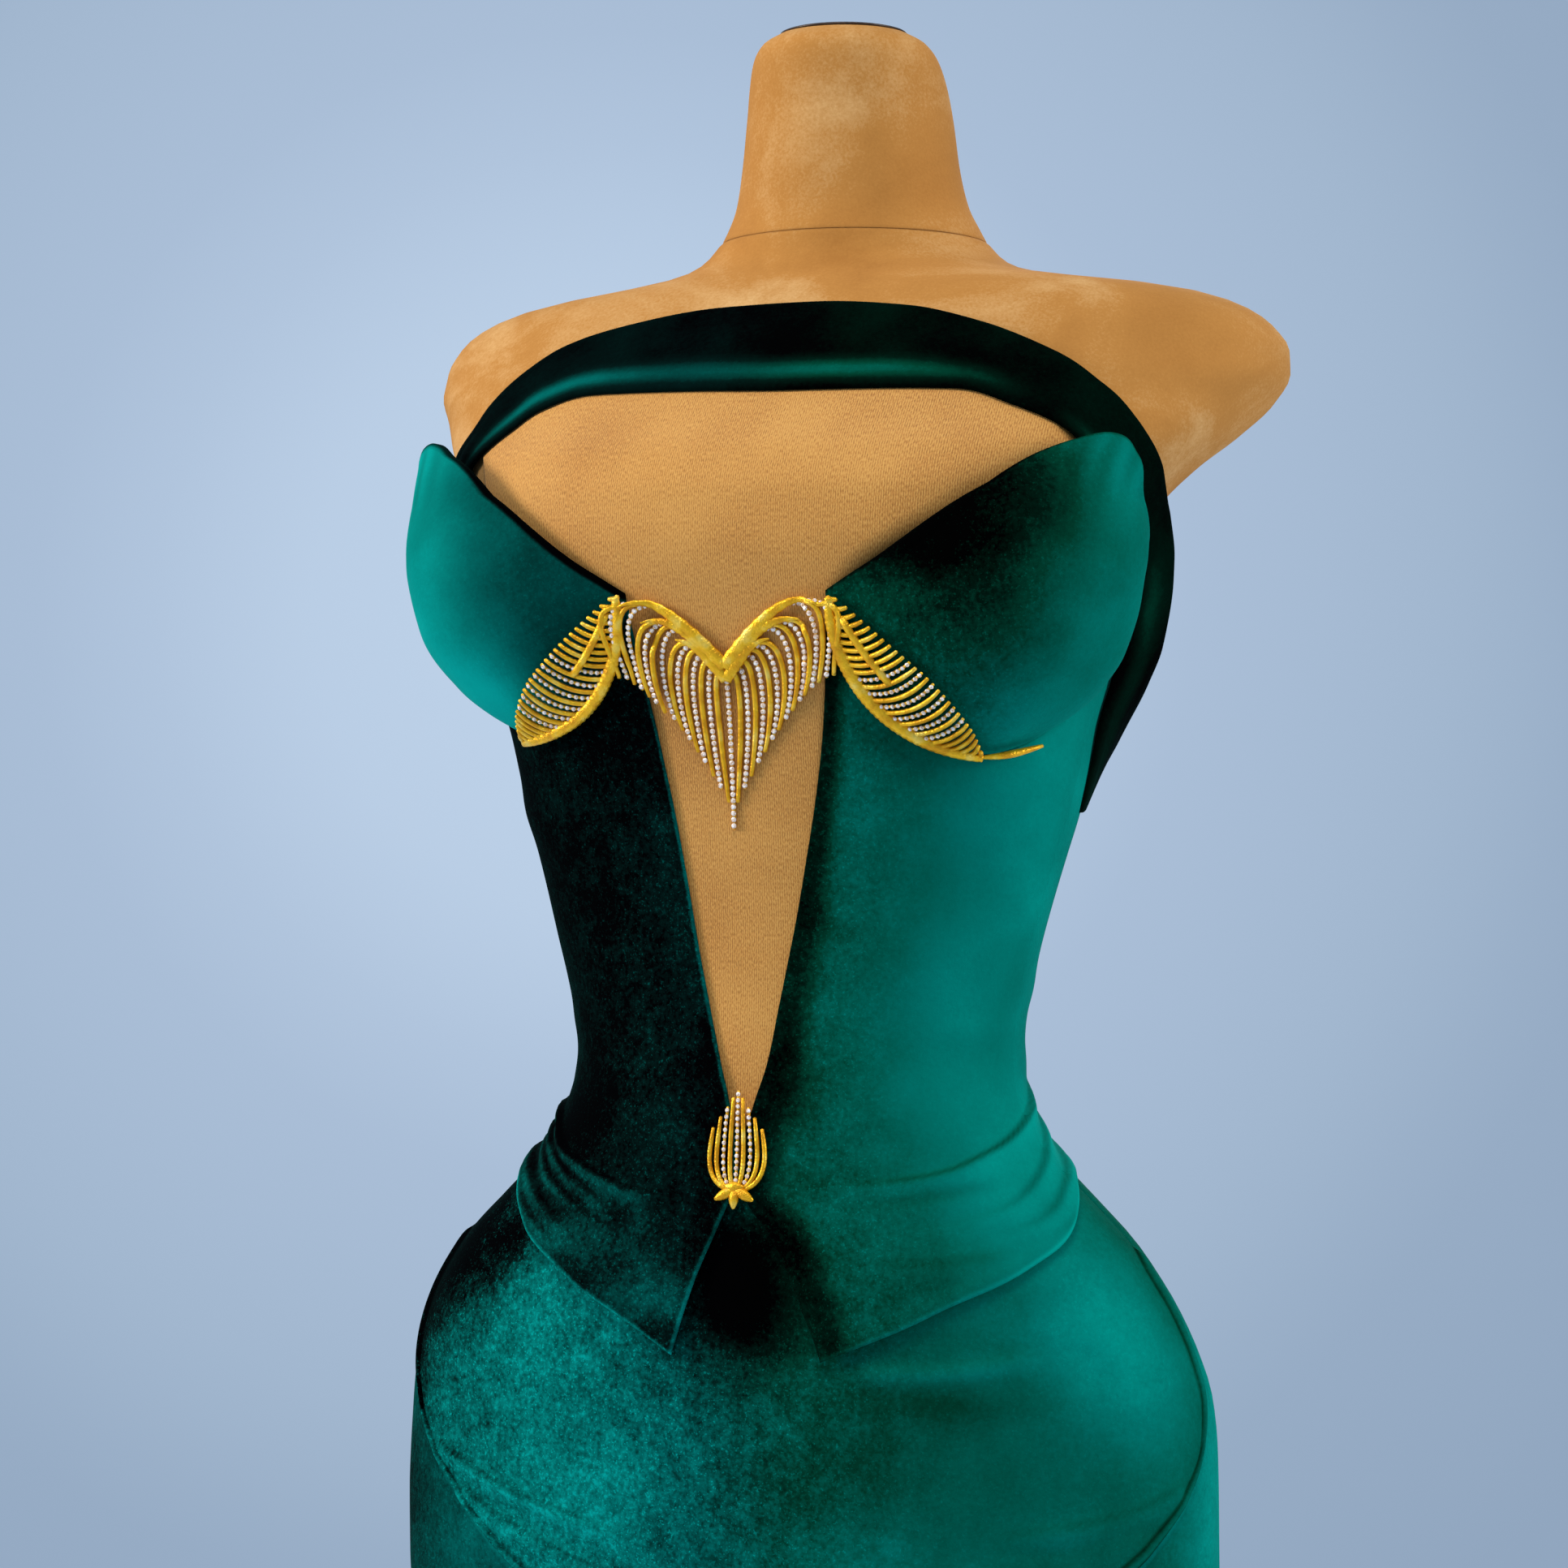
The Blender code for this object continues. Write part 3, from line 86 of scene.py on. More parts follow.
def smoothRows(xs, ys, at):
    # cubic through the rows; where neighbouring slopes agree the slope is their weighted
    # harmonic mean, and elsewhere 0, so the curve never overshoots a row
    xs = np.asarray(xs, float)
    ys = np.asarray(ys, float).reshape(len(xs), -1)
    step = np.diff(xs)[:, None]
    slope = np.diff(ys, axis=0) / step
    bend = np.zeros_like(ys)
    bend[0], bend[-1] = slope[0], slope[-1]
    if len(xs) > 2:
        before, after = slope[:-1], slope[1:]
        heavy, light = 2 * step[1:] + step[:-1], step[1:] + 2 * step[:-1]
        same = before * after > 0
        mean = (heavy + light) / (heavy / np.where(same, before, 1) + light / np.where(same, after, 1))
        bend[1:-1] = np.where(same, mean, 0)
    at = np.asarray(at, float)
    cell = np.clip(np.searchsorted(xs, at) - 1, 0, len(xs) - 2)
    width = (xs[cell + 1] - xs[cell])[..., None]
    f = (at - xs[cell])[..., None] / width
    low = (2 * f**3 - 3 * f**2 + 1) * ys[cell] + (f**3 - 2 * f**2 + f) * width * bend[cell]
    high = (3 * f**2 - 2 * f**3) * ys[cell + 1] + (f**3 - f**2) * width * bend[cell + 1]
    return low + high


def straightRows(xs, rows, at):
    # rows read at places by straight lines between their xs
    return joined(*(np.interp(at, xs, column) for column in np.transpose(rows)))


def softStep(x, low, high):
    # 0 below low, 1 above high, 3f squared minus 2f cubed between
    f = np.clip((np.asarray(x, float) - low) / (high - low), 0, 1)
    return f * f * (3 - 2 * f)


def bell(x, middle, reach):
    # exp of minus the square of the distance from the middle over the reach
    return np.exp(-((x - middle) / reach)**2)


def onBody(angle, height):
    # superellipse ring at each height, x = halfWidth sin, y = centre - depth cos, plus three
    # waves of the skirt (7, 4 and 11 a turn) that grow from the knee to the hem
    angle, height = np.broadcast_arrays(np.asarray(angle, float), np.asarray(height, float))
    rings = smoothRows(bodyRings[:, 0], bodyRings[:, 1:], height)
    halfWidth, centre, front, back, power = np.moveaxis(rings, -1, 0)
    turn = np.radians(angle)
    s, c = np.sin(turn), np.cos(turn)
    power = np.where(c > 0, power, 2)
    reach = (np.abs(s)**power + np.abs(c)**power)**(-1 / power)
    depth = np.where(c > 0, centre - front, back - centre)
    wave = 0.62 * np.cos(7 * turn + 0.4) + 0.38 * np.cos(4 * turn - 1.1) + 0.22 * np.sin(11 * turn)
    grow = np.clip((fluteSize["top"] - height) / (fluteSize["top"] - fluteSize["hem"]), 0, 1)**1.3
    wave = wave * grow * fluteSize["depth"]
    return joined((halfWidth + wave) * s * reach, centre - (depth + wave) * c * reach, height)


def outward(angle, height):
    # unit cross product of the steps round and up the body
    normal = np.cross(onBody(angle + 0.06, height) - onBody(angle - 0.06, height),
                      onBody(angle, height + 0.001) - onBody(angle, height - 0.001))
    return normal / np.linalg.norm(normal, axis=-1, keepdims=True)


def lifted(angle, height, distance):
    # point of the body moved outward by the distance
    distance = np.broadcast_to(distance, np.shape(angle))[..., None]
    return onBody(angle, height) + outward(angle, height) * distance


def runLength(points, axis=0):
    # distance along the points from the first one
    steps = np.linalg.norm(np.diff(points, axis=axis), axis=-1)
    return np.insert(np.cumsum(steps, axis=axis), 0, 0, axis=axis)


def alongPath(rows, shares):
    # rows of (angle, height, ...) read at shares of the path's length
    rows = np.asarray(rows, float)
    length = runLength(rows[:, :2] * np.array([metresPerDegree, 1]))
    return smoothRows(length / length[-1], rows, shares)


def angleAt(rows, heights):
    # angle of a falling edge at each height
    rising = np.asarray(rows, float)[::-1]
    return smoothRows(rising[:, 1], rising[:, 0], heights)[..., 0]


def fallingEdge(rows, down):
    # points of a falling edge whose heights are even between its ends
    heights = rows[0][1] + (rows[-1][1] - rows[0][1]) * down
    return joined(angleAt(rows, heights), heights)


def upright(angle, top, bottom, down):
    # straight edge at one angle between two heights
    return joined(angle, top + (bottom - top) * down)


def coons(top, bottom, inner, outer, across, down):
    # sum of the two ruled patches between opposite edges, less the patch between the corners
    u, v = across[None, :, None], down[:, None, None]
    corners = (1 - v) * ((1 - u) * top[0] + u * top[-1]) + v * ((1 - u) * bottom[0] + u * bottom[-1])
    return (1 - v) * top[None] + v * bottom[None] + (1 - u) * inner[:, None] + u * outer[:, None] - corners


def edgeShares(count, length, fine=(0.0, 0.0003, 0.0007, 0.0012, 0.0019, 0.0029, 0.0045)):
    # shares from 0 to 1, close together near both ends so that turned edges come out round
    near = np.array(fine) / length
    middle = np.linspace(near[-1], 1 - near[-1], count)
    return np.concatenate([near[:-1], middle, 1 - near[-2::-1]])


def makeObject(name, verts, faces, materials, slots=None, smooth=True):
    # mesh object at the origin, with a material index for each face
    mesh = bpy.data.meshes.new(name)
    mesh.from_pydata(verts, [], faces)
    for material in materials:
        mesh.materials.append(material)
    if slots is not None:
        mesh.polygons.foreach_set("material_index", np.asarray(slots, np.int32))
    mesh.polygons.foreach_set("use_smooth", np.full(len(mesh.polygons), smooth))
    mesh.update()
    thing = bpy.data.objects.new(name, mesh)
    bpy.context.scene.collection.objects.link(thing)
    return thing


def enter(thing, node):
    # the piece moves with the gown and takes the place of one node
    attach(thing, bodyName)
    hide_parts(node)


def paint(thing, name, values):
    # one value a vertex, which the materials read as a named attribute
    layer = thing.data.attributes.new(name, "FLOAT", "POINT")
    layer.data.foreach_set("value", np.asarray(values, np.float32))


def gridFaces(rows, columns):
    # quads between neighbours of a grid
    first = (np.arange(rows - 1)[:, None] * columns + np.arange(columns - 1)).ravel()
    return joined(first, first + 1, first + columns + 1, first + columns)


def rimFaces(rows, columns, shift):
    # quads that join the rim of a grid to the same rim of its copy, shift places on
    index = np.arange(rows * columns).reshape(rows, columns)
    rim = np.concatenate([index[0, :-1], index[:-1, -1], index[-1, :0:-1], index[:0:-1, 0]])
    after = np.roll(rim, -1)
    return joined(after, rim, rim + shift, after + shift)


def ringFaces(rows, count):
    # quads between closed rings of equal count, and a fan over each end to its middle point;
    # the two middle points follow the rings
    row, turn = np.arange(rows - 1)[:, None] * count, np.arange(count)
    after = (turn + 1) % count
    first, second = (row + turn).ravel(), (row + after).ravel()
    last, middle = (rows - 1) * count, rows * count
    fans = np.concatenate([joined(after, turn, middle), joined(last + turn, last + after, middle + 1)])
    return joined(first, second, second + count, first + count), fans


def alongAim(faces, verts, aim):
    # true where the faces, taken together, point the same way as the aim
    a, b, c = (verts[faces[:, i]] for i in (0, 1, 2))
    return (np.cross(b - a, c - a) * aim[faces[:, 0]]).sum() > 0


def edgeDistances(points):
    # distance along the cloth from each grid point to the first and last column and row
    across, down = runLength(points, 1), runLength(points, 0)
    return {"inner": across, "outer": across[:, -1:] - across, "top": down, "bottom": down[-1:] - down}


# the columns of a crease are rise, width, sharpness, the shares over which it fades in and out, shade,
# glow, width of the shaded line, and then its path as (angle, height) points
def softPulls(fadeIn, fadeOut, *rows):
    # broad creases of (rise, width, path) that leave the tone of the pile alone
    return tuple((rise, width, 1.0, fadeIn, fadeOut, 0.0, 0.0, 0.0014, *path) for rise, width, *path in rows)


def creases(table, angle, height):
    # each crease is a path; below it the cloth falls off over its width and above it over sharp
    # times the width, both as exp of minus the square of distance over width. Ridges take the
    # highest of their heights and troughs add up. Painted shade darkens the pile along the steep
    # side by shade, and a painted highlight lightens the ridge by glow
    scale = np.array([creaseDegree, 1.0])
    steps = 40
    flat = joined(angle, height) * scale
    ridges, troughs, tone = (np.zeros(np.shape(angle)) for _ in range(3))
    for rise, width, sharp, fadeIn, fadeOut, shade, glow, line, *rows in table:
        path = alongPath(rows, np.linspace(0, 1, steps + 1)) * scale
        reach = 3.2 * width
        inside = ((flat > path.min(axis=0) - reach) & (flat < path.max(axis=0) + reach)).all(axis=-1)
        if not inside.any():
            continue
        points = flat[inside]
        run = np.diff(path, axis=0)
        f = np.clip(((points[:, None] - path[:-1]) * run).sum(-1) / (run * run).sum(-1), 0, 1)
        gap = points[:, None] - (path[:-1] + f[..., None] * run)
        apart = np.linalg.norm(gap, axis=-1)
        every, pick = np.arange(len(points)), apart.argmin(axis=1)
        nearest = apart[every, pick]
        signed = np.sign(gap[every, pick, 1]) * nearest
        share = (pick + f[every, pick]) / steps
        fade = softStep(share, 0, fadeIn) * (1 - softStep(share, 1 - fadeOut, 1))
        shape = rise * fade * bell(nearest, 0, np.where(signed > 0, width * sharp, width))
        if rise > 0:
            ridges[inside] = np.maximum(ridges[inside], shape)
        else:
            troughs[inside] += shape
        crest = bell(signed, -0.35 * width, 0.6 * width)
        tone[inside] += fade * (glow * crest - shade * bell(signed, 0.7 * sharp * width, line))
    return ridges + troughs, tone


def napTone(settings, angle, height):
    # tone of the pile, or of its crush: a soft step across the panel plus soft spots of (angle, height,
    # reach in degrees, reach in metres, change). For the pile's tone these paint light and shade as
    # well as the lie of the pile
    low, high, start, end = settings["ramp"]
    tone = low + (high - low) * softStep(angle, start, end)
    for spotAngle, spotHeight, reach, rise, change in settings.get("spots", ()):
        tone = tone + change * bell(angle, spotAngle, reach) * bell(height, spotHeight, rise)
    return tone


# turned edges stand proud and seams sink in, each fading between two distances from the edge;
# the edges come out round over the last stretch, never thinner than a share of the wall
edgeSize = {"turned": (0.0005, 0.0045, 0.0085), "seam": (-0.0007, 0.0004, 0.0042), "round": 0.0013,
            "thinnest": 0.06}
# the pile goes from a cool green to a warm one between these angles
warmTurn = (-10, 12)


def clothPiece(name, grid, lift, settings, node):
    # thin shell: the inside lies at the lift from the body and the outside one wall further out;
    # along the edges the outside comes down to the inside on a quarter circle
    angle, height = grid[..., 0], grid[..., 1]
    base, normal = onBody(angle, height), outward(angle, height)
    near = edgeDistances(base)
    closest = np.min([near[edge] for edge in near if edge not in settings.get("flush", ())], axis=0)
    lift = np.broadcast_to(lift, angle.shape).copy()
    for kind, edges in (("turned", settings.get("turned", ())), ("seam", settings.get("seams", ()))):
        rise, start, end = edgeSize[kind]
        for edge in edges:
            lift += rise * (1 - softStep(near[edge], start, end))
    rounded = 1 - np.clip(1 - closest / settings.get("round", edgeSize["round"]), 0, 1)**2
    wall = settings.get("wall", velvetWall) * np.maximum(np.sqrt(rounded), edgeSize["thinnest"])
    inside = (base + normal * lift[..., None]).reshape(-1, 3)
    outside = (base + normal * (lift + wall)[..., None]).reshape(-1, 3)
    rows, columns = angle.shape
    count = rows * columns
    skin, rim = gridFaces(rows, columns), rimFaces(rows, columns, count)
    faces = [skin, skin[:, ::-1] + count, rim]
    if not alongAim(skin, outside, normal.reshape(-1, 3)):
        faces = [skin[:, ::-1], skin + count, rim[:, ::-1]]
    slots = np.repeat([0, 1, 0], [len(skin), len(skin), len(rim)])
    faces = np.concatenate(faces)
    materials = settings.get("materials", velvetSides)
    thing = makeObject(name, np.concatenate([outside, inside]), faces, materials, slots)
    # the pile's tone: the lie of the pile with its painted light and shade, the painted creases, ripples and
    # sheen, and painted highlights and shade along the edges
    tone = napTone(settings["napLightAndShade"], angle, height) + settings.get("paintedLightAndShade", 0)
    for edge, (change, width) in settings.get("edgeLightAndShade", {}).items():
        tone = tone + change * (1 - softStep(near[edge], 0.25 * width, width))
    marks = {"napLightAndShade": tone, "crush": napTone(settings["crush"], angle, height),
             "cool": 1 - softStep(angle, *warmTurn)}
    for label, values in marks.items():
        paint(thing, label, np.tile(values.ravel(), 2))
    enter(thing, node)
    print("cloth piece", name, "with", len(faces) * 2, "triangles")
    return thing


def hexColour(text, alpha=1.0):
    # sRGB hex to linear
    values = [int(text[i:i + 2], 16) / 255 for i in (1, 3, 5)]
    return tuple(v / 12.92 if v <= 0.04045 else ((v + 0.055) / 1.055)**2.4 for v in values) + (alpha,)


def newMaterial(name):
    # a material with nodes, and its shader
    material = bpy.data.materials.new(name)
    material.use_nodes = True
    return material, material.node_tree.nodes["Principled BSDF"]


def addNode(material, kind, settings=None, inputs=None, links=None, out=0, stops=()):
    # one node with its settings, its input values, the sockets that feed its inputs and a ramp's
    # stops of (place, colour); gives back one of its outputs
    node = material.node_tree.nodes.new("ShaderNode" + kind)
    for key, value in (settings or {}).items():
        setattr(node, key, value)
    for key, value in (inputs or {}).items():
        node.inputs[key].default_value = value
    for key, socket in (links or {}).items():
        material.node_tree.links.new(socket, node.inputs[key])
    elements = node.color_ramp.elements if stops else ()
    while len(elements) < len(stops):
        elements.new(0.5)
    for element, (place, text) in zip(elements, stops):
        element.position = place
        element.color = hexColour(text)
    return node.outputs[out]


def finishShader(material, shader, colour, values, relief=None, bump=()):
    # colour and relief feed the shader, and every other value sits on its own socket; bump is
    # (strength, distance in metres)
    links = material.node_tree.links
    links.new(colour, shader.inputs["Base Color"])
    for key, value in values.items():
        shader.inputs[key].default_value = value
    if relief is not None:
        inputs = dict(zip(("Strength", "Distance"), bump))
        links.new(addNode(material, "Bump", inputs=inputs, links={"Height": relief}), shader.inputs["Normal"])
    return material


def stretchVelvet():
    # polyester stretch velvet, knitted with a cut pile of about 1.5 mm: nearly black where one
    # looks into the pile, teal where it leans away, bright at grazing angles. The black and teal are
    # painted into the colour from the napLightAndShade attribute, together with painted light and shade
    material, shader = newMaterial("stretchVelvet")
    place = addNode(material, "TexCoord", out="Object")
    napLightAndShade, crush, cool = (addNode(material, "Attribute", {"attribute_name": name}, out="Fac")
                        for name in ("napLightAndShade", "crush", "cool"))
    # soft patches about 70 mm wide, crushed flecks of about 12 mm and of 2.5 mm
    patches = addNode(material, "TexNoise", inputs={"Scale": 14.0, "Detail": 2.0}, links={"Vector": place})
    flecks = addNode(material, "TexNoise", inputs={"Scale": 85.0, "Detail": 5.0, "Roughness": 0.68},
                     links={"Vector": place})
    tufts = addNode(material, "TexNoise", inputs={"Scale": 420.0, "Detail": 2.0, "Roughness": 0.6},
                    links={"Vector": place})
    mottled = addNode(material, "Math", {"operation": "ADD"}, links={0: flecks, 1: tufts})
    centred = addNode(material, "Math", {"operation": "SUBTRACT"}, {1: 1.0}, {0: mottled})
    crushed = addNode(material, "Math", {"operation": "MULTIPLY"}, links={0: centred, 1: crush})
    patched = addNode(material, "Math", {"operation": "MULTIPLY_ADD"}, {1: 0.45, 2: -0.225}, {0: patches})
    # painted glints: specks about 1 mm across lightened in the colour, as if single strands of pile
    # caught the light, more where the pile is crushed
    glintSpecks = addNode(material, "TexNoise", inputs={"Scale": 950.0, "Detail": 1.0}, links={"Vector": place})
    glint = addNode(material, "MapRange", {"interpolation_type": "SMOOTHSTEP"},
                    {"From Min": 0.60, "From Max": 0.74, "To Max": 0.42}, {"Value": glintSpecks})
    glinting = addNode(material, "Math", {"operation": "MULTIPLY"}, links={0: glint, 1: crush})
    tone = napLightAndShade
    for part in (crushed, patched, glinting):
        tone = addNode(material, "Math", {"operation": "ADD"}, links={0: tone, 1: part})
    warmer = addNode(material, "ValToRGB", links={0: tone}, stops=(
        (0.0, "#000000"), (0.20, "#00180F"), (0.40, "#003A29"), (0.60, "#005A4B"), (0.80, "#00766A"),
        (1.0, "#009688")))
    cooler = addNode(material, "ValToRGB", links={0: tone}, stops=(
        (0.0, "#000001"), (0.20, "#011614"), (0.40, "#003A35"), (0.60, "#005A54"), (0.80, "#017870"),
        (1.0, "#029A92")))
    colour = addNode(material, "Mix", {"data_type": "RGBA"}, links={0: cool, 6: warmer, 7: cooler}, out=2)
    return finishShader(material, shader, colour, {
        "Roughness": 0.82, "Specular IOR Level": 0.01, "Sheen Weight": 0.07, "Sheen Roughness": 0.30,
        "Sheen Tint": hexColour("#0E8F76")}, mottled, (0.35, 0.0006))


def liningSatin():
    # polyester lining satin, woven: smooth and a little glossy, darker than the velvet
    material, shader = newMaterial("liningSatin")
    place = addNode(material, "TexCoord", out="Object")
    weave = addNode(material, "TexNoise", inputs={"Scale": 900.0, "Detail": 2.0}, links={"Vector": place})
    colour = addNode(material, "ValToRGB", links={0: weave}, stops=((0.3, "#03302A"), (0.7, "#07453C")))
    return finishShader(material, shader, colour, {"Roughness": 0.42})


def formSuede():
    # microfibre suede glued on a padded form: matt, with a fine nap that brushes lighter and darker
    material, shader = newMaterial("formSuede")
    place = addNode(material, "TexCoord", out="Object")
    brushed = addNode(material, "TexNoise", links={"Vector": place},
                      inputs={"Scale": 11.0, "Detail": 4.0, "Roughness": 0.6, "Distortion": 0.6})
    grain = addNode(material, "TexNoise", inputs={"Scale": 650.0, "Detail": 3.0, "Roughness": 0.7},
                    links={"Vector": place})
    mixed = addNode(material, "Math", {"operation": "MULTIPLY_ADD"}, {1: 0.35}, {0: grain, 2: brushed})
    colour = addNode(material, "ValToRGB", links={0: mixed}, stops=(
        (0.42, "#A56E30"), (0.66, "#B57D3B"), (0.92, "#D2A66C")))
    seam = addNode(material, "Attribute", {"attribute_name": "seam"}, out="Fac")
    sewn = addNode(material, "Mix", {"data_type": "RGBA"}, {7: hexColour("#8A5E2C")}, {0: seam, 6: colour},
                   out=2)
    return finishShader(material, shader, sewn, {
        "Roughness": 0.92, "Specular IOR Level": 0.2, "Sheen Weight": 0.12, "Sheen Roughness": 0.5,
        "Sheen Tint": hexColour("#E0A860")}, grain, (0.25, 0.0003))


def powerMesh():
    # nylon power mesh in a skin tone over the suede: fine upright ribs 1.1 mm apart, from the
    # knit, broken into short darker dashes
    material, shader = newMaterial("powerMesh")
    place = addNode(material, "UVMap", {"uv_map": "cut"}, out="UV")
    ribs = addNode(material, "TexWave", {"wave_type": "BANDS", "bands_direction": "X"},
                   {"Scale": 2000.0 / 7.0, "Distortion": 0.4, "Detail": 1.0, "Detail Scale": 0.6},
                   {"Vector": place}, out="Fac")
    stretch = addNode(material, "Mapping", inputs={"Scale": (1900.0, 620.0, 1.0)}, links={"Vector": place})
    dashes = addNode(material, "TexNoise", inputs={"Scale": 1.0, "Detail": 1.0}, links={"Vector": stretch})
    drift = addNode(material, "TexNoise", inputs={"Scale": 16.0, "Detail": 3.0}, links={"Vector": place})
    mixed = addNode(material, "Math", {"operation": "MULTIPLY_ADD"}, {1: 0.24}, {0: ribs, 2: dashes})
    whole = addNode(material, "Math", {"operation": "MULTIPLY_ADD"}, {1: 0.45}, {0: drift, 2: mixed})
    colour = addNode(material, "ValToRGB", links={0: whole}, stops=(
        (0.58, "#9C6728"), (0.84, "#C0853B"), (1.00, "#D09A4C")))
    return finishShader(material, shader, colour, {"Roughness": 0.75, "Specular IOR Level": 0.3,
                                                   "Sheen Weight": 0.15}, mixed, (0.35, 0.0003))


def goldPlate():
    # brass wire, cast and gold plated: bright yellow with a finely pitted skin
    material, shader = newMaterial("goldPlate")
    place = addNode(material, "TexCoord", out="Object")
    pits = addNode(material, "TexNoise", inputs={"Scale": 1000.0, "Detail": 2.0}, links={"Vector": place})
    tint = addNode(material, "TexNoise", inputs={"Scale": 130.0, "Detail": 2.0}, links={"Vector": place})
    colour = addNode(material, "ValToRGB", links={0: tint}, stops=(
        (0.35, "#E09E0C"), (0.55, "#F8C01C"), (0.75, "#FAD860")))
    return finishShader(material, shader, colour, {"Metallic": 0.60, "Roughness": 0.38}, pits, (0.60, 0.0007))


def crystalStone():
    # foiled lead glass stones, cut in flat facets: pale pink white, each facet its own brightness
    material, shader = newMaterial("crystalStone")
    place = addNode(material, "TexCoord", out="Object")
    facets = addNode(material, "TexNoise", inputs={"Scale": 900.0, "Detail": 1.0}, links={"Vector": place})
    colour = addNode(material, "ValToRGB", links={0: facets}, stops=(
        (0.35, "#D0AE94"), (0.5, "#F6E8DA"), (0.66, "#FFFFFF")))
    return finishShader(material, shader, colour, {"Roughness": 0.12, "IOR": 1.6})


def turnedWood():
    # beech cap, turned and stained dark under a satin lacquer
    material, shader = newMaterial("turnedWood")
    place = addNode(material, "TexCoord", out="Object")
    grain = addNode(material, "TexNoise", inputs={"Scale": 160.0, "Detail": 3.0, "Distortion": 1.5},
                    links={"Vector": place})
    colour = addNode(material, "ValToRGB", links={0: grain}, stops=((0.35, "#241810"), (0.7, "#3F2A1B")))
    return finishShader(material, shader, colour, {"Roughness": 0.4})


def paintedSteel():
    # cast base and steel tube, powder coated in a satin grey with a faint orange peel
    material, shader = newMaterial("paintedSteel")
    place = addNode(material, "TexCoord", out="Object")
    peel = addNode(material, "TexNoise", inputs={"Scale": 420.0, "Detail": 1.0}, links={"Vector": place})
    scuffs = addNode(material, "TexNoise", inputs={"Scale": 24.0, "Detail": 4.0}, links={"Vector": place})
    colour = addNode(material, "ValToRGB", links={0: scuffs}, stops=((0.3, "#8A8A8C"), (0.7, "#A0A0A2")))
    return finishShader(material, shader, colour, {"Roughness": 0.38}, peel, (0.15, 0.0003))


def paintedZinc():
    # die cast zip slider and pull, lacquered green to match the velvet
    material, shader = newMaterial("paintedZinc")
    place = addNode(material, "TexCoord", out="Object")
    wear = addNode(material, "TexNoise", inputs={"Scale": 700.0, "Detail": 2.0}, links={"Vector": place})
    colour = addNode(material, "ValToRGB", links={0: wear}, stops=((0.3, "#0E4A40"), (0.7, "#1A6B5C")))
    return finishShader(material, shader, colour, {"Metallic": 0.4, "Roughness": 0.35})


velvetSides = [stretchVelvet(), liningSatin()]
suede = formSuede()
netting = powerMesh()
gold = goldPlate()
crystal = crystalStone()
wood = turnedWood()
steel = paintedSteel()
zinc = paintedZinc()
print("materials made")

formSize = {"ease": 0.0026, "easeFades": (1.300, 1.360), "bottom": 0.690, "underside": 0.018, "turns": 216,
            "rows": 190, "top": 1.4620, "lip": (1.4628, 1.4635, 1.4641, 1.4646, 1.4650, 1.4653),
            "lipFades": (1.4636, 1.4653), "underRows": 12}
seamSize = {"height": 1.4654, "halfWidth": 0.0006, "depth": 0.0003, "stitches": 150, "centre": 0.08}


def seamShade(rings):
    # 1 on the neck seam, falling off as exp of minus the square of distance over half width,
    # lighter between the stitches; the last two values are for the middle points
    turn = np.arctan2(rings[..., 0], seamSize["centre"] - rings[..., 1])
    stitch = 0.78 + 0.22 * np.cos(seamSize["stitches"] * turn)
    return np.append(stitch * bell(rings[..., 2], seamSize["height"], seamSize["halfWidth"]), [0, 0])


def ringStack(name, rings, material, node):
    # closed rings of equal count, bottom to top, with a fan of faces over each end
    rows, count = rings.shape[:2]
    verts = np.concatenate([rings.reshape(-1, 3), [rings[0].mean(axis=0), rings[-1].mean(axis=0)]])
    walls, fans = ringFaces(rows, count)
    thing = makeObject(name, verts, walls.tolist() + fans.tolist(), [material])
    enter(thing, node)
    return thing


def makeFormBody():
    # body rings set in by the ease below the chest, closed below by a rounded underside
    angles = np.linspace(-180, 180, formSize["turns"], endpoint=False)
    heights = np.append(np.linspace(formSize["bottom"], formSize["top"], formSize["rows"]), formSize["lip"])
    ease = formSize["ease"] * (1 - softStep(heights, *formSize["easeFades"]))
    ease = ease + seamSize["depth"] * softStep(heights, *formSize["lipFades"])
    angle, height = np.broadcast_arrays(angles[None], heights[:, None])
    rings = lifted(angle, height, -ease[:, None])
    middle = rings[0].mean(axis=0)
    turn = np.linspace(0.05, 1, formSize["underRows"])[::-1, None, None] * math.pi / 2
    under = middle + (rings[0] - middle) * (0.78 + 0.22 * np.cos(turn))
    under[..., 2] = formSize["bottom"] - formSize["underside"] * np.sin(turn[..., 0])
    rings = np.concatenate([under, rings])
    paint(ringStack("formBody", rings, suede, "form_body"), "seam", seamShade(rings))


neckSize = {
    # height, radius, centre y
    "profile": np.array([(1.4653, 0.0683, 0.0805), (1.4720, 0.0648, 0.0800), (1.4840, 0.0595, 0.0775),
                         (1.5020, 0.0558, 0.0750), (1.5280, 0.0527, 0.0735), (1.5450, 0.0502, 0.0705),
                         (1.5570, 0.0470, 0.0670), (1.5650, 0.0415, 0.0645), (1.5695, 0.0335, 0.0635)]),
    "cap": np.array([(0.0000, 0.0310), (0.0003, 0.0320), (0.0007, 0.0325), (0.0012, 0.0322), (0.0018, 0.0305),
                     (0.0024, 0.0270), (0.0034, 0.0200), (0.0042, 0.0100)]),
    "turns": 144, "rows": 70, "foot": (1.4655, 1.4659, 1.4664, 1.4670, 1.4677), "start": 1.4686,
    "footFades": (1.4655, 1.4672), "capFoot": 1.5698,
}


def roundRings(heights, radii, centres, count):
    # circles of given height, radius and centre y
    turn = np.linspace(0, 2 * math.pi, count, endpoint=False)
    heights, radii, centres = (v[:, None] for v in np.broadcast_arrays(heights, radii, centres))
    return joined(radii * np.sin(turn), centres - radii * np.cos(turn), heights)


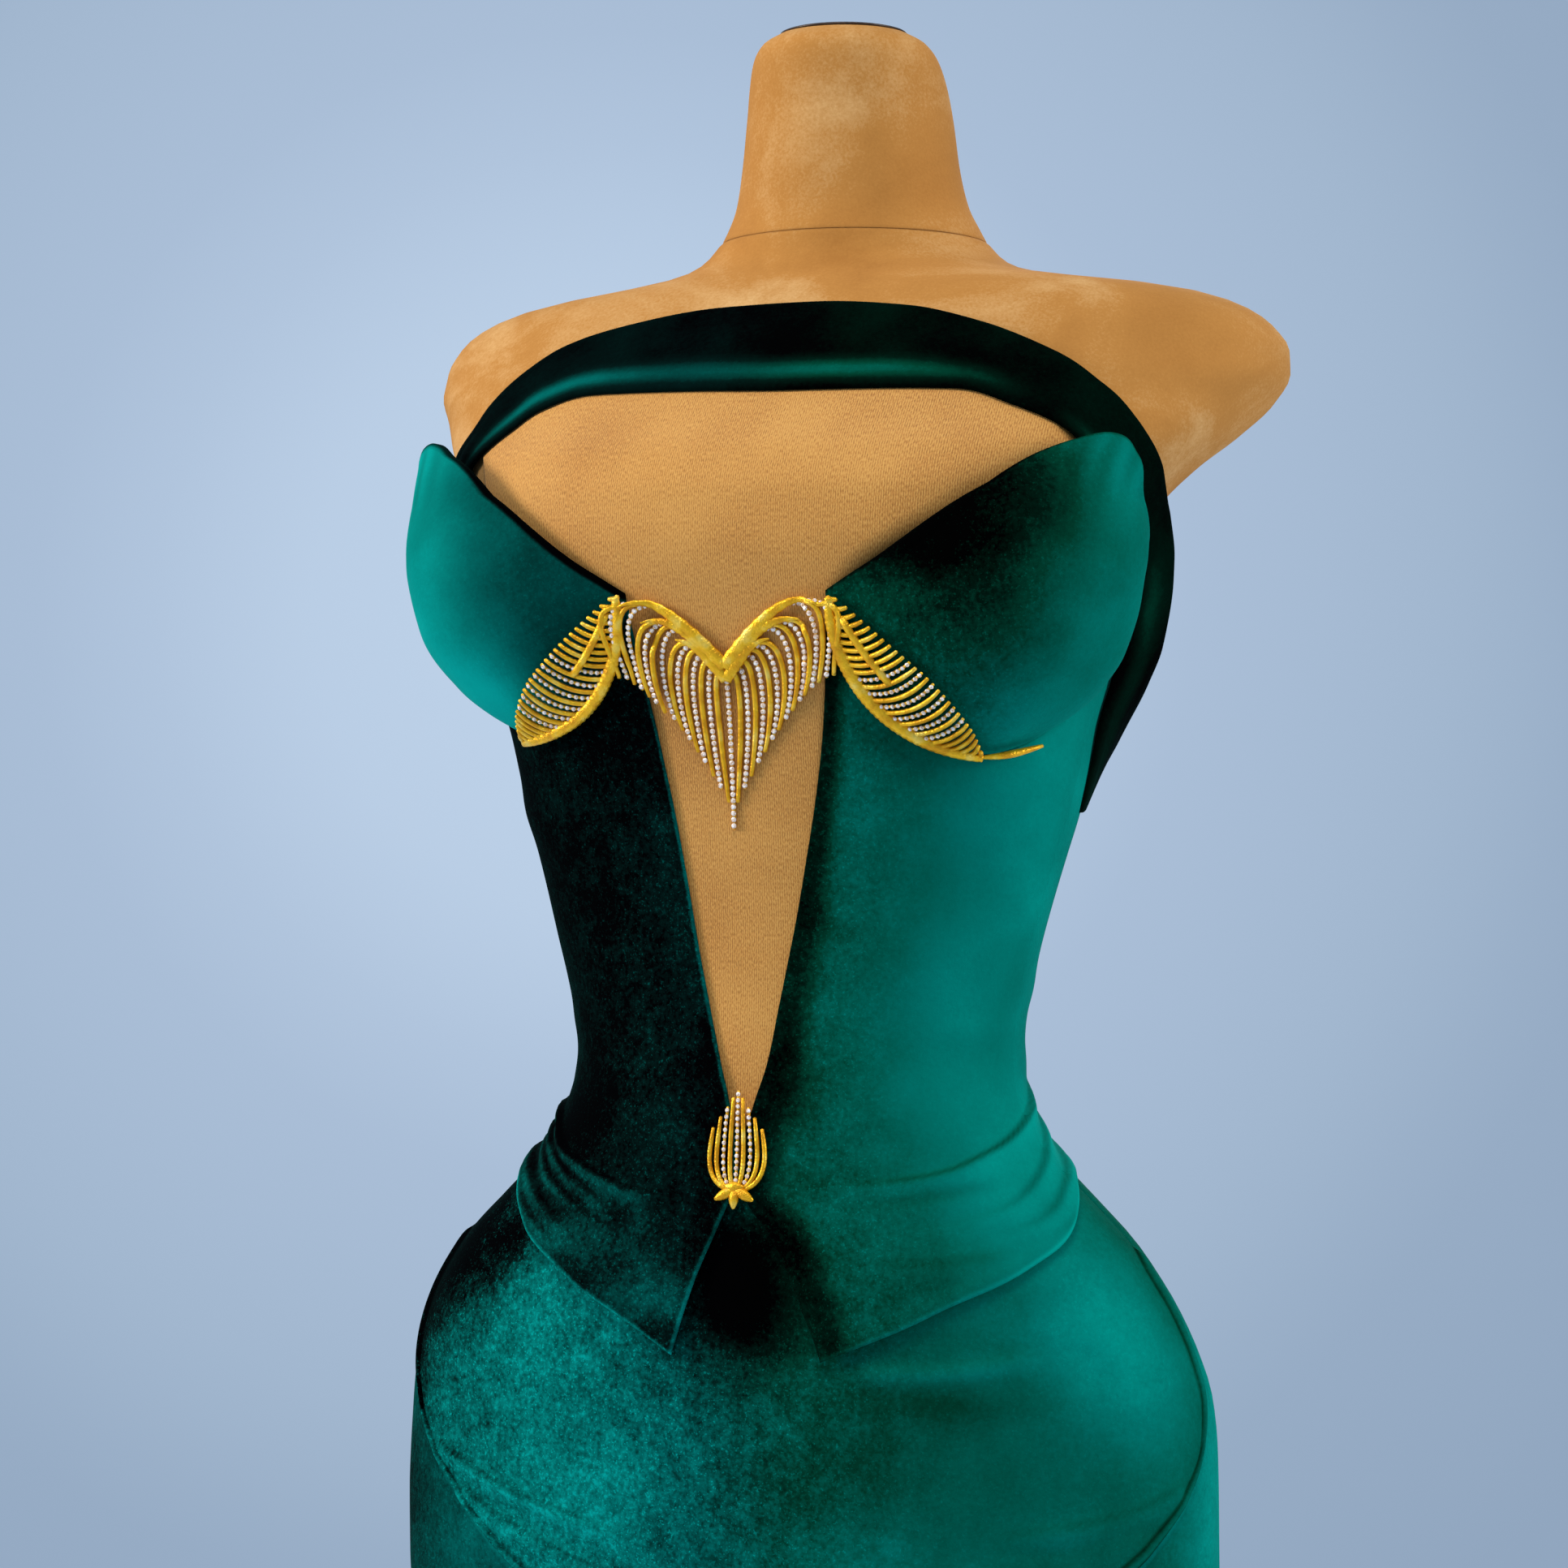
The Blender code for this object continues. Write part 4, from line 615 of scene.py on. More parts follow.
def makeNeck():
    # circles of the neck's profile, whose lower edge turns in to a sewn seam
    profile, cap = neckSize["profile"], neckSize["cap"]
    rising = np.linspace(neckSize["start"], profile[-1, 0], neckSize["rows"])
    heights = np.append(neckSize["foot"], rising)
    radius, centre = smoothRows(profile[:, 0], profile[:, 1:], heights).T
    radius = radius - seamSize["depth"] * (1 - softStep(heights, *neckSize["footFades"]))
    rings = roundRings(heights, radius, centre, neckSize["turns"])
    paint(ringStack("formNeck", rings, suede, "form_neck"), "seam", seamShade(rings))
    rings = roundRings(cap[:, 0] + neckSize["capFoot"], cap[:, 1], profile[-1, 2], neckSize["turns"])
    ringStack("formNeckCap", rings, wood, "form_neck_cap")


standSize = {
    # height, radius
    "base": np.array([(0.0, 0.1620), (0.0008, 0.1640), (0.003, 0.1650), (0.010, 0.1650), (0.0128, 0.1632),
                      (0.015, 0.1590), (0.0170, 0.1520), (0.018, 0.1450), (0.0200, 0.0380), (0.0228, 0.0330),
                      (0.028, 0.0300), (0.050, 0.0270), (0.072, 0.0242), (0.0765, 0.0225), (0.078, 0.0210)]),
    "pole": np.array([(0.0783, 0.0125), (0.6497, 0.0125), (0.6540, 0.0150), (0.6657, 0.0225),
                      (0.6658, 0.0550), (0.6717, 0.0550)]),
    "turns": 96, "sharpAngle": 0.7,
}


def makeStand():
    # circles of the two profiles, with sharp edges where the faces turn
    for name, node, part in (("standBase", "stand_base", "base"), ("standPole", "stand_pole", "pole")):
        rings = roundRings(standSize[part][:, 0], standSize[part][:, 1], 0.0, standSize["turns"])
        thing = ringStack(name, rings, steel, node)
        thing.data.set_sharp_from_angle(angle=standSize["sharpAngle"])


makeFormBody()
makeNeck()
makeStand()
print("form and stand made")

# angle from the front, lower edge, upper edge, share of the full bulge
cupOutline = np.array([
    (17.5, 1.2720, 1.2805, 0.00), (21.0, 1.2530, 1.2875, 0.06), (25.0, 1.2365, 1.2955, 0.16),
    (31.0, 1.2210, 1.3095, 0.36), (38.0, 1.2095, 1.3260, 0.60), (46.0, 1.2045, 1.3435, 0.86),
    (50.0, 1.2045, 1.3498, 0.95), (53.5, 1.2060, 1.3518, 1.00), (58.0, 1.2090, 1.3475, 0.99),
    (64.0, 1.2150, 1.3300, 0.94), (71.0, 1.2240, 1.3050, 0.66), (78.0, 1.2360, 1.2820, 0.22),
    (85.0, 1.2510, 1.2650, 0.03),
])
cupSection = np.array([(0.00, 0.00), (0.08, 0.30), (0.20, 0.62), (0.42, 0.95), (0.60, 1.00), (0.78, 0.86),
                       (0.91, 0.68), (1.00, 0.55)])
# how far the lower edge is raised and the upper one moved at the full bulge
cupFit = {"right": (0.0100, 0.0), "left": (0.0, -0.0040)}
cupBulge = 0.030
# extra fullness of a cup's outer side: its place and reach, and the angles over which it ends
cupFuller = {"right": 0.0, "left": 0.0044, "turn": (67, 9), "height": (1.308, 0.020), "fades": (78, 85)}
# each lift with the heights over which it fades upwards
bodiceSize = {"lift": 0.0026, "peplumLift": (0.0013, 1.035, 1.070), "hemFlare": (0.0014, 0.935, 1.000),
              "flareFades": (60, 85)}
velvetWall = 0.0016
slitTurn, seamTurn = cupOutline[0, 0], cupOutline[-1, 0]
slitEdges = {
    "left": ((17.5, 1.2720), (17.3, 1.250), (17.0, 1.224), (15.0, 1.177), (12.0, 1.127), (8.7, 1.085),
             (6.3, 1.057), (3.6, 1.040), (0.9, 1.020), (0.5, 1.002), (2.5, 0.990), (5.5, 0.980),
             (8.5, 0.962), (10.5, 0.944), (12.0, 0.930), (12.8, 0.920)),
    "right": ((-17.5, 1.2720), (-16.9, 1.250), (-16.3, 1.224), (-14.3, 1.177), (-12.0, 1.121), (-9.0, 1.084),
              (-5.6, 1.057), (-3.2, 1.042), (-0.9, 1.020), (-0.5, 1.002), (-2.0, 0.990), (-3.6, 0.978),
              (-6.0, 0.957), (-7.6, 0.938), (-8.3, 0.928), (-8.8, 0.920)),
}
peplumHems = {
    "left": ((12.8, 0.920), (19.0, 0.928), (25.5, 0.936), (33.5, 0.946), (45.5, 0.957), (54.0, 0.965),
             (63.0, 0.9725), (74.5, 0.984), (85.0, 0.9935)),
    "right": ((-8.8, 0.920), (-16.5, 0.934), (-25.0, 0.946), (-33.0, 0.957), (-43.0, 0.969), (-50.0, 0.978),
              (-64.0, 0.991), (-75.0, 0.996), (-85.0, 0.998)),
}
backHem = ((97.0, 1.0000), (110.0, 1.0010), (128.0, 0.9930), (150.0, 0.9810), (180.0, 0.9760))
backTop = ((85.0, 1.2650), (105.0, 1.2680), (135.0, 1.2580), (180.0, 1.2460))
# tucks that fan out from the side seams over the peplum, and the softer pulls between them
tucks = (
    (0.0038, 0.0090, 0.14, 0.22, 0.45, 0.32, 0.07, 0.0014, (112.0, 1.050), (102.0, 1.041), (94.0, 1.033),
     (82.0, 1.025), (67.0, 1.016), (55.5, 1.010), (47.0, 1.0055), (28.5, 1.001), (11.0, 0.9995)),
    (0.0030, 0.0060, 0.40, 0.25, 0.55, 0.20, 0.06, 0.0014, (112.0, 1.036), (102.0, 1.026), (94.0, 1.017),
     (84.0, 1.0085), (72.0, 0.9995), (62.5, 0.992), (52.5, 0.986), (34.0, 0.9800)),
    (0.0026, 0.0055, 0.40, 0.25, 0.55, 0.20, 0.06, 0.0014, (111.0, 1.018), (101.0, 1.010), (93.0, 1.003),
     (77.0, 0.9925), (67.0, 0.985), (57.0, 0.979), (42.0, 0.9745)),
    (0.0020, 0.0050, 0.45, 0.25, 0.6, 0.14, 0.05, 0.0014, (90.0, 0.994), (78.0, 0.9845), (68.0, 0.9775),
     (56.0, 0.9705)),
    (0.0010, 0.0060, 0.6, 0.3, 0.5, 0.10, 0.0, 0.003, (60.0, 0.998), (44.0, 0.9935), (30.0, 0.9905),
     (16.0, 0.9895)),
    (0.0008, 0.0070, 0.6, 0.3, 0.5, 0.08, 0.0, 0.003, (52.0, 0.968), (40.0, 0.9640), (30.0, 0.9625),
     (18.0, 0.9640)),
    (0.0034, 0.0060, 0.20, 0.20, 0.25, 0.26, 0.32, 0.0014, (-92.0, 1.036), (-70.0, 1.0235), (-54.0, 1.0110),
     (-42.0, 1.0045), (-30.5, 0.9985), (-22.5, 0.9945), (-12.0, 0.9940)),
    (0.0024, 0.0045, 0.4, 0.2, 0.5, 0.22, 0.28, 0.0014, (-90.0, 1.026), (-66.0, 1.0125), (-50.0, 1.0025),
     (-41.0, 0.9968), (-32.5, 0.9905), (-26.0, 0.9840), (-16.0, 0.9760)),
    (0.0018, 0.0034, 0.5, 0.2, 0.5, 0.20, 0.32, 0.0014, (-84.0, 1.018), (-62.0, 1.0050), (-50.0, 0.9955),
     (-40.0, 0.9885), (-30.0, 0.9800), (-20.0, 0.9690)),
    (0.0028, 0.0055, 0.5, 0.2, 0.6, 0.20, 0.36, 0.0014, (-88.0, 1.010), (-66.0, 0.998), (-52.5, 0.9890),
     (-44.0, 0.9820), (-34.0, 0.9720), (-24.0, 0.9620)),
    (0.0016, 0.0036, 0.5, 0.2, 0.5, 0.18, 0.26, 0.0014, (-72.0, 0.9990), (-58.0, 0.9880), (-48.0, 0.9790),
     (-38.0, 0.9690), (-28.0, 0.9560)),
    (-0.0014, 0.0030, 1.0, 0.04, 0.35, 0.22, 0.0, 0.0014, (-72.0, 1.021), (-66.0, 1.0175), (-54.5, 1.0055),
     (-43.5, 0.9965), (-36.5, 0.9905)),
    (0.0014, 0.0080, 0.5, 0.4, 0.35, 0.16, 0.05, 0.0014, (98.0, 1.022), (120.0, 1.012), (140.0, 1.006),
     (160.0, 1.002)),
    (0.0012, 0.0070, 0.5, 0.4, 0.35, 0.12, 0.05, 0.0014, (100.0, 1.006), (118.0, 0.999), (138.0, 0.994)),
    (0.0014, 0.0080, 0.5, 0.4, 0.35, 0.16, 0.05, 0.0014, (-98.0, 1.024), (-120.0, 1.012), (-142.0, 1.003),
     (-162.0, 1.000)),
    (0.0012, 0.0070, 0.5, 0.4, 0.35, 0.12, 0.05, 0.0014, (-100.0, 1.007), (-116.0, 1.001), (-136.0, 0.995)),
)
# long soft pulls of the fitted bodice, between bust, waist and side seams
bodicePulls = softPulls(
    0.2, 0.5,
    (0.0008, 0.0110, (84.0, 1.190), (62.0, 1.170), (40.0, 1.160)),
    (0.0007, 0.0090, (84.0, 1.080), (60.0, 1.072), (38.0, 1.078)),
    (0.0007, 0.0090, (-84.0, 1.082), (-60.0, 1.070), (-36.0, 1.074)),
    (0.0009, 0.0110, (-84.0, 1.185), (-60.0, 1.168), (-38.0, 1.150)),
    (0.0012, 0.0100, (96.0, 1.100), (125.0, 1.080), (158.0, 1.076)),
    (0.0012, 0.0090, (96.0, 1.060), (130.0, 1.050), (165.0, 1.048)),
    (0.0011, 0.0100, (-96.0, 1.104), (-128.0, 1.078), (-162.0, 1.082)),
    (0.0011, 0.0090, (-97.0, 1.058), (-133.0, 1.046), (-168.0, 1.052)),
) + softPulls(
    0.3, 0.5,
    (0.0010, 0.0130, (110.0, 1.235), (135.0, 1.200), (160.0, 1.150)),
    (0.0010, 0.0130, (-112.0, 1.230), (-138.0, 1.196), (-160.0, 1.140)),
)


def cupEdges(turns, side):
    # lower edge, upper edge and share of the bulge at each angle, moved by the side's fit
    rows = smoothRows(cupOutline[:, 0], cupOutline[:, 1:], np.clip(turns, slitTurn, seamTurn))
    low, high, share = np.moveaxis(rows, -1, 0)
    raised, lowered = cupFit[side]
    return low + raised * share, high + lowered * share, share


def cupLift(angle, height, side):
    # body to the inside of a cup: the bulge at that angle times the rise of the cup's section
    turn = np.abs(angle)
    low, high, share = cupEdges(turn, side)
    up = np.clip((height - low) / (high - low), 0, 1)
    fuller = cupFuller[side] * bell(turn, *cupFuller["turn"]) * bell(height, *cupFuller["height"])
    fuller = fuller * (1 - softStep(turn, *cupFuller["fades"]))
    rise = smoothRows(cupSection[:, 0], cupSection[:, 1], up)[..., 0]
    return bodiceSize["lift"] + fuller + cupBulge * share * rise


def bodiceLift(angle, height):
    # the lift, one more step of it over the hips and another at the peplum's hem in front
    over, low, high = bodiceSize["peplumLift"]
    flare, hem, waist = bodiceSize["hemFlare"]
    front = 1 - softStep(np.abs(angle), *bodiceSize["flareFades"])
    flare = flare * (1 - softStep(height, hem, waist)) * front
    return bodiceSize["lift"] + over * (1 - softStep(height, low, high)) + flare


# the pile's ramps and spots paint light and shade as well as the lie of the pile; a painted shade runs along
# each cup's upper edge
cupSize = {
    "right": {"napLightAndShade": {"ramp": (0.92, 0.43, -53.0, -25.0), "spots": (
                  (-47.0, 1.238, 12.0, 0.022, 0.14), (-39.0, 1.285, 8.0, 0.026, -0.12),
                  (-30.0, 1.262, 8.0, 0.030, -0.08), (-22.0, 1.260, 4.0, 0.020, -0.10),
                  (-42.0, 1.330, 7.0, 0.016, -0.14))},
              "crush": {"ramp": (0.06, 0.20, -55.0, -25.0)}, "edgeLightAndShade": {"top": (-0.62, 0.0044)}},
    "left": {"napLightAndShade": {"ramp": (0.46, 0.76, 30.0, 58.0), "spots": (
                 (39.0, 1.322, 12.0, 0.026, -0.52), (43.0, 1.280, 10.0, 0.022, -0.26),
                 (60.0, 1.305, 8.0, 0.028, -0.17), (30.0, 1.300, 8.0, 0.014, -0.30),
                 (49.0, 1.318, 5.0, 0.020, -0.14), (50.0, 1.226, 14.0, 0.014, 0.05))},
             "crush": {"ramp": (0.44, 0.10, 36.0, 56.0)}, "edgeLightAndShade": {"top": (-0.25, 0.0022)}},
    "both": {"flat": (0.19, 0.16), "area": 0.0225, "held": "stretched", "wall": 0.0024, "round": 0.0016,
             "turned": ("top",), "seams": ("bottom", "outer")},
}
# fine ripples near a cup's peak, their crests painted lighter by tone
rippleSize = {"turn": (54, 8), "height": (1.338, 0.016), "waves": 1.5, "rise": 0.0004, "tone": 0.06}
clothRows = 100


def makeCups():
    # a panel between the cup's two edges, lifted by its bulge
    for side, sign in sides:
        turns = slitTurn + (seamTurn - slitTurn) * edgeShares(clothRows, 0.19)
        low, high, _ = cupEdges(turns, side)
        height = high + (low - high) * edgeShares(int(clothRows * 0.8), 0.12)[:, None]
        grid = joined(turns * sign, height)
        ripple = bell(turns, *rippleSize["turn"]) * bell(height, *rippleSize["height"])
        ripple = ripple * np.sin(turns * rippleSize["waves"])
        lift = cupLift(grid[..., 0], height, side) + rippleSize["rise"] * ripple
        settings = dict(cupSize["both"], **cupSize[side], paintedLightAndShade=rippleSize["tone"] * ripple,
                        restsOn=["bodice_front_" + side])
        clothPiece("velvetCup" + side.title(), grid, lift, settings, "cup_" + side)


# the pile's ramps and spots paint light and shade as well as the lie of the pile; the wearer's right front
# gets painted highlights along its slit and hem, the wearer's left front painted shade along its slit and a
# painted highlight along its hem
frontSize = {
    "right": {"napLightAndShade": {"ramp": (0.12, 0.04, -85.0, -60.0), "spots": (
                  (-16.0, 1.10, 6.0, 0.10, 0.10), (-26.0, 1.045, 10.0, 0.030, 0.14),
                  (-18.0, 1.012, 9.0, 0.016, 0.10), (-28.0, 0.990, 9.0, 0.008, 0.20),
                  (-16.0, 0.972, 7.0, 0.012, 0.10), (-13.0, 0.946, 9.0, 0.016, 0.42),
                  (-34.0, 0.970, 14.0, 0.010, 0.26), (-52.0, 0.992, 10.0, 0.008, 0.16),
                  (-60.0, 1.05, 14.0, 0.08, -0.03))},
              "crush": {"ramp": (0.34, 0.56, -70.0, -30.0)},
              "edgeLightAndShade": {"inner": (0.44, 0.0022), "bottom": (0.50, 0.0026)}},
    "left": {"napLightAndShade": {"ramp": (0.52, 0.80, 20.0, 62.0), "spots": (
                 (24.0, 1.195, 9.0, 0.030, 0.04), (13.0, 1.040, 8.0, 0.030, -0.17),
                 (40.0, 1.040, 16.0, 0.020, 0.06), (44.0, 0.990, 18.0, 0.020, 0.08),
                 (9.0, 0.950, 6.0, 0.012, 0.02), (10.0, 0.975, 6.0, 0.014, -0.10),
                 (26.0, 1.215, 12.0, 0.010, -0.06), (30.0, 0.955, 8.0, 0.008, -0.06),
                 (22.0, 1.005, 12.0, 0.006, -0.10))},
             "crush": {"ramp": (0.42, 0.08, 16.0, 46.0)},
             "edgeLightAndShade": {"inner": (-0.38, 0.025), "bottom": (0.20, 0.0026)}},
    "both": {"flat": (0.20, 0.36), "area": 0.0400, "held": "stretched", "turned": ("inner", "bottom"),
             "seams": ("top",), "flush": ("outer",), "restsOn": ["form_body", "mesh_insert"]},
}
backSize = {
    "right": {"napLightAndShade": {"ramp": (0.46, 0.10, -140.0, -92.0)}},
    "left": {"napLightAndShade": {"ramp": (0.82, 0.50, 92.0, 140.0)}},
    "both": {"flat": (0.19, 0.31), "area": 0.0540, "held": "stretched", "turned": ("top", "bottom"),
             "seams": ("outer",), "flush": ("inner",), "crush": {"ramp": (0.10, 0.10, 0.0, 1.0)},
             "restsOn": ["form_body"]},
}


def bodicePanel(name, grid, size, side, node):
    # a panel of the bodice with its tucks and pulls, and their painted shade and highlights
    angle, height = grid[..., 0], grid[..., 1]
    relief, creaseLightAndShade = creases(tucks + bodicePulls, angle, height)
    settings = dict(size["both"], **size[side], paintedLightAndShade=creaseLightAndShade)
    clothPiece(name, grid, bodiceLift(angle, height) + relief, settings, node + side)


def makeBodice():
    # front panels between slit, cup, side seam and hem, and back panels from there to the zip
    for side, sign in sides:
        hem, seam = peplumHems[side], sign * seamTurn
        across, down = edgeShares(clothRows, 0.16), edgeShares(int(clothRows * 2.0), 0.32)
        turns = slitTurn + (seamTurn - slitTurn) * across
        grid = coons(joined(sign * turns, cupEdges(turns, side)[0]), alongPath(hem, across),
                     fallingEdge(slitEdges[side], down), upright(seam, cupOutline[-1, 1], hem[-1][1], down),
                     across, down)
        bodicePanel("velvetFront" + side.title(), grid, frontSize, side, "bodice_front_")

        across, down = edgeShares(int(clothRows * 0.8), 0.15), edgeShares(int(clothRows * 1.6), 0.28)
        top, hem = np.array(backTop), np.array(((seamTurn, hem[-1][1]),) + backHem)
        flip = np.array([sign, 1.0])
        grid = coons(alongPath(top * flip, across), alongPath(hem * flip, across),
                     upright(seam, top[0, 1], hem[0, 1], down),
                     upright(sign * 180.0, top[-1, 1], hem[-1, 1], down), across, down)
        bodicePanel("velvetBack" + side.title(), grid, backSize, side, "bodice_back_")


makeCups()
makeBodice()

# upper edge: angle, height, distance from the body; lower edge: the same three
strapEdges = np.array([
    (-61.0, 1.3420, 0.0028, -60.0, 1.3180, 0.0028), (-54.0, 1.3540, 0.0026, -54.0, 1.3320, 0.0026),
    (-47.5, 1.3655, 0.0024, -47.5, 1.3465, 0.0024), (-43.0, 1.3775, 0.0024, -43.0, 1.3535, 0.0024),
    (-37.5, 1.3895, 0.0024, -38.0, 1.3610, 0.0024), (-30.5, 1.4050, 0.0024, -32.0, 1.3705, 0.0024),
    (-20.0, 1.4145, 0.0024, -23.0, 1.3770, 0.0024), (-8.0, 1.4200, 0.0024, -9.0, 1.3760, 0.0024),
    (5.0, 1.4210, 0.0024, 5.0, 1.3745, 0.0024), (17.5, 1.4175, 0.0024, 17.0, 1.3745, 0.0024),
    (27.0, 1.4085, 0.0024, 26.5, 1.3740, 0.0024), (37.0, 1.3935, 0.0024, 35.5, 1.3660, 0.0024),
    (48.0, 1.3745, 0.0026, 43.5, 1.3575, 0.0024), (58.5, 1.3570, 0.0034, 51.0, 1.3475, 0.0026),
    (71.0, 1.3410, 0.0056, 60.5, 1.3350, 0.0032), (80.0, 1.3270, 0.0110, 69.0, 1.3200, 0.0042),
    (88.0, 1.3040, 0.0190, 77.5, 1.3010, 0.0058), (94.0, 1.2840, 0.0208, 84.0, 1.2810, 0.0062),
    (99.5, 1.2620, 0.0212, 89.0, 1.2620, 0.0056), (103.5, 1.2450, 0.0190, 91.5, 1.2430, 0.0049),
    (107.0, 1.2300, 0.0168, 93.0, 1.2270, 0.0046), (109.0, 1.2150, 0.0142, 94.0, 1.2120, 0.0046),
    (110.0, 1.2000, 0.0090, 94.5, 1.1980, 0.0044), (110.5, 1.1870, 0.0052, 95.5, 1.1860, 0.0040),
    (111.0, 1.1790, 0.0034, 97.0, 1.1770, 0.0034),
])
strapSize = {"flat": (0.046, 0.58), "area": 0.0255, "crown": 0.0012, "ripple": 0.0005, "held": "stretched",
             "turned": ("inner", "outer"), "restsOn": ["form_body", "mesh_insert"],
             "napLightAndShade": {"ramp": (0.03, 0.03, 0.0, 1.0)}, "crush": {"ramp": (0.10, 0.10, 0.0, 1.0)}}
# light along the strap: tone, its place and reach across, the angles where it begins and ends, shimmer
strapSheen = ((0.56, 0.80, 0.115, (-58, -42), (24, 40), 0.2), (0.22, 0.86, 0.10, (40, 52), (62, 80), 0.0),
              (0.26, 0.55, 0.30, (78, 90), (96, 104), 0.0))


def makeStrap():
    # the two edges' rows joined by a line at each share, raised in the middle as 1 - (2w - 1) squared
    line = alongPath(strapEdges, edgeShares(clothRows * 3, 0.54))
    w = edgeShares(18, 0.032)[None]
    band = line[:, None, :3] + (line[:, None, 3:] - line[:, None, :3]) * w[..., None]
    angle = band[..., 0]
    crown = strapSize["crown"] * (1 - (2 * w - 1)**2)
    ripple = strapSize["ripple"] * np.sin(angle * 0.21 + 5 * w) * np.sin(angle * 0.043 + 1.0)
    ripple = ripple * np.sin(math.pi * w)
    sheen = 0
    for tone, place, reach, begins, ends, shimmer in strapSheen:
        light = tone * bell(w, place, reach) * softStep(angle, *begins) * (1 - softStep(angle, *ends))
        sheen = sheen + light * (1 - shimmer + shimmer * np.sin(angle * 0.16))
    settings = dict(strapSize, paintedLightAndShade=sheen)
    clothPiece("velvetStrap", band[..., :2], band[..., 2] + crown + ripple, settings, "neck_strap")


makeStrap()

meshTop = ((-46.0, 1.3620), (-39.0, 1.3725), (-32.0, 1.3830), (-22.0, 1.3900), (0.0, 1.3890), (26.0, 1.3870),
           (36.0, 1.3790), (45.0, 1.3660))
meshSide = ((45.0, 1.3660), (44.0, 1.3340), (37.0, 1.3170), (30.0, 1.3010), (24.5, 1.2870), (21.5, 1.2680),
            (20.5, 1.2400), (19.0, 1.2000), (16.0, 1.1500), (13.0, 1.1100), (9.8, 1.0700), (7.0, 1.0450),
            (5.0, 1.0280))
# the wearer's left side starts with these points instead of the first four
meshLeft = ((52.0, 1.3590), (50.0, 1.3410), (41.0, 1.3200), (32.0, 1.3030))
meshSize = {"flat": (0.25, 0.37), "area": 0.0530, "lift": 0.0010, "wall": 0.0010, "held": "stretched",
            "napLightAndShade": {"ramp": (0.5, 0.5, 0.0, 1.0)}, "crush": {"ramp": (0.0, 0.0, 0.0, 1.0)},
            "materials": [netting, netting], "restsOn": ["form_body"]}


def makeMeshInsert():
    # a panel between its four edges, with its own map of metres across from the centre front and
    # height
    across, down = edgeShares(clothRows, 0.2), edgeShares(int(clothRows * 1.4), 0.36)
    right = alongPath(meshSide, down) * np.array([-1.0, 1.0])
    left = alongPath(meshLeft + meshSide[4:], down)
    top = alongPath(meshTop, across)
    top[0], top[-1] = right[0], left[0]
    bottom = right[-1] + (left[-1] - right[-1]) * across[:, None]
    grid = coons(top, bottom, right, left, across, down)
    thing = clothPiece("meshInsert", grid, meshSize["lift"], meshSize, "mesh_insert")
    cut = joined(onBody(grid[..., 0], grid[..., 1])[..., 0], grid[..., 1]).reshape(-1, 2)
    corners = np.zeros(len(thing.data.loops), np.int32)
    thing.data.loops.foreach_get("vertex_index", corners)
    layer = thing.data.uv_layers.new(name="cut")
    layer.data.foreach_set("uv", np.tile(cut, (2, 1))[corners].astype(np.float32).ravel())


makeMeshInsert()

drapeRightEdge = ((-83.5, 1.008), (-83.5, 0.990), (-82.0, 0.955), (-77.0, 0.920), (-71.0, 0.900),
                  (-66.0, 0.886))
drapeLeftEdge = ((94.0, 1.008), (93.4, 0.975), (92.7, 0.948), (91.8, 0.930), (90.0, 0.913), (86.5, 0.894),
                 (82.5, 0.877))
drapeRightCurve = ((-66.0, 0.886), (-61.0, 0.869), (-55.5, 0.855), (-49.0, 0.841), (-43.0, 0.826),
                   (-36.5, 0.811), (-25.0, 0.790), (-9.0, 0.774), (8.0, 0.768))
drapeLeftCurve = ((82.5, 0.877), (78.5, 0.862), (73.0, 0.848), (67.5, 0.836), (61.5, 0.824), (52.0, 0.807),
                  (40.0, 0.789), (24.0, 0.773), (8.0, 0.768))
# the drape's edge rolls up over a cord's width and is painted lighter; it lies between a painted
# shadow line and painted shade along the seam
drapeRoll = {"rise": 0.0024, "place": (0.0035, 0.0034), "line": (0.0080, 0.0016), "seam": (0.0, 0.0020),
             "fades": (0.955, 0.985)}
skirtSize = {"lift": 0.0006, "join": (0.0010, 0.980, 1.006), "top": 1.008, "hem": 0.010, "seam": 96.0,
             "tab": 0.012}
# folds of the draped panel: under the flaps, at its lower left and at its lower right
drapeFolds = (
    (0.0018, 0.0060, 0.6, 0.2, 0.35, 0.0, 0.12, 0.0014, (14.0, 0.914), (22.0, 0.9155), (31.0, 0.9165),
     (38.0, 0.9195), (49.5, 0.9255)),
    (-0.0012, 0.0080, 1.0, 0.3, 0.35, 0.0, 0.0, 0.0014, (55.5, 0.932), (55.5, 0.9215), (56.0, 0.9055)),
    (0.0022, 0.0060, 0.4, 0.1, 0.35, 0.22, 0.10, 0.0014, (-58.0, 0.866), (-40.0, 0.850), (-25.0, 0.838),
     (-12.0, 0.826)),
    (0.0018, 0.0070, 0.5, 0.1, 0.35, 0.16, 0.08, 0.0014, (-50.0, 0.846), (-30.0, 0.822), (-12.0, 0.806)),
    (0.0018, 0.0080, 0.5, 0.1, 0.35, 0.08, 0.05, 0.0014, (76.0, 0.860), (56.0, 0.846), (34.0, 0.838)),
    (0.0014, 0.0090, 1.0, 0.1, 0.35, 0.0, 0.0, 0.0014, (66.0, 0.838), (44.0, 0.822), (26.0, 0.816)),
    (0.0010, 0.0140, 1.0, 0.3, 0.35, 0.0, 0.0, 0.0014, (-70.0, 0.945), (-45.0, 0.915), (-20.0, 0.900)),
    (0.0012, 0.0140, 1.0, 0.3, 0.35, 0.0, 0.0, 0.0014, (82.0, 0.940), (60.0, 0.900), (40.0, 0.880)),
)
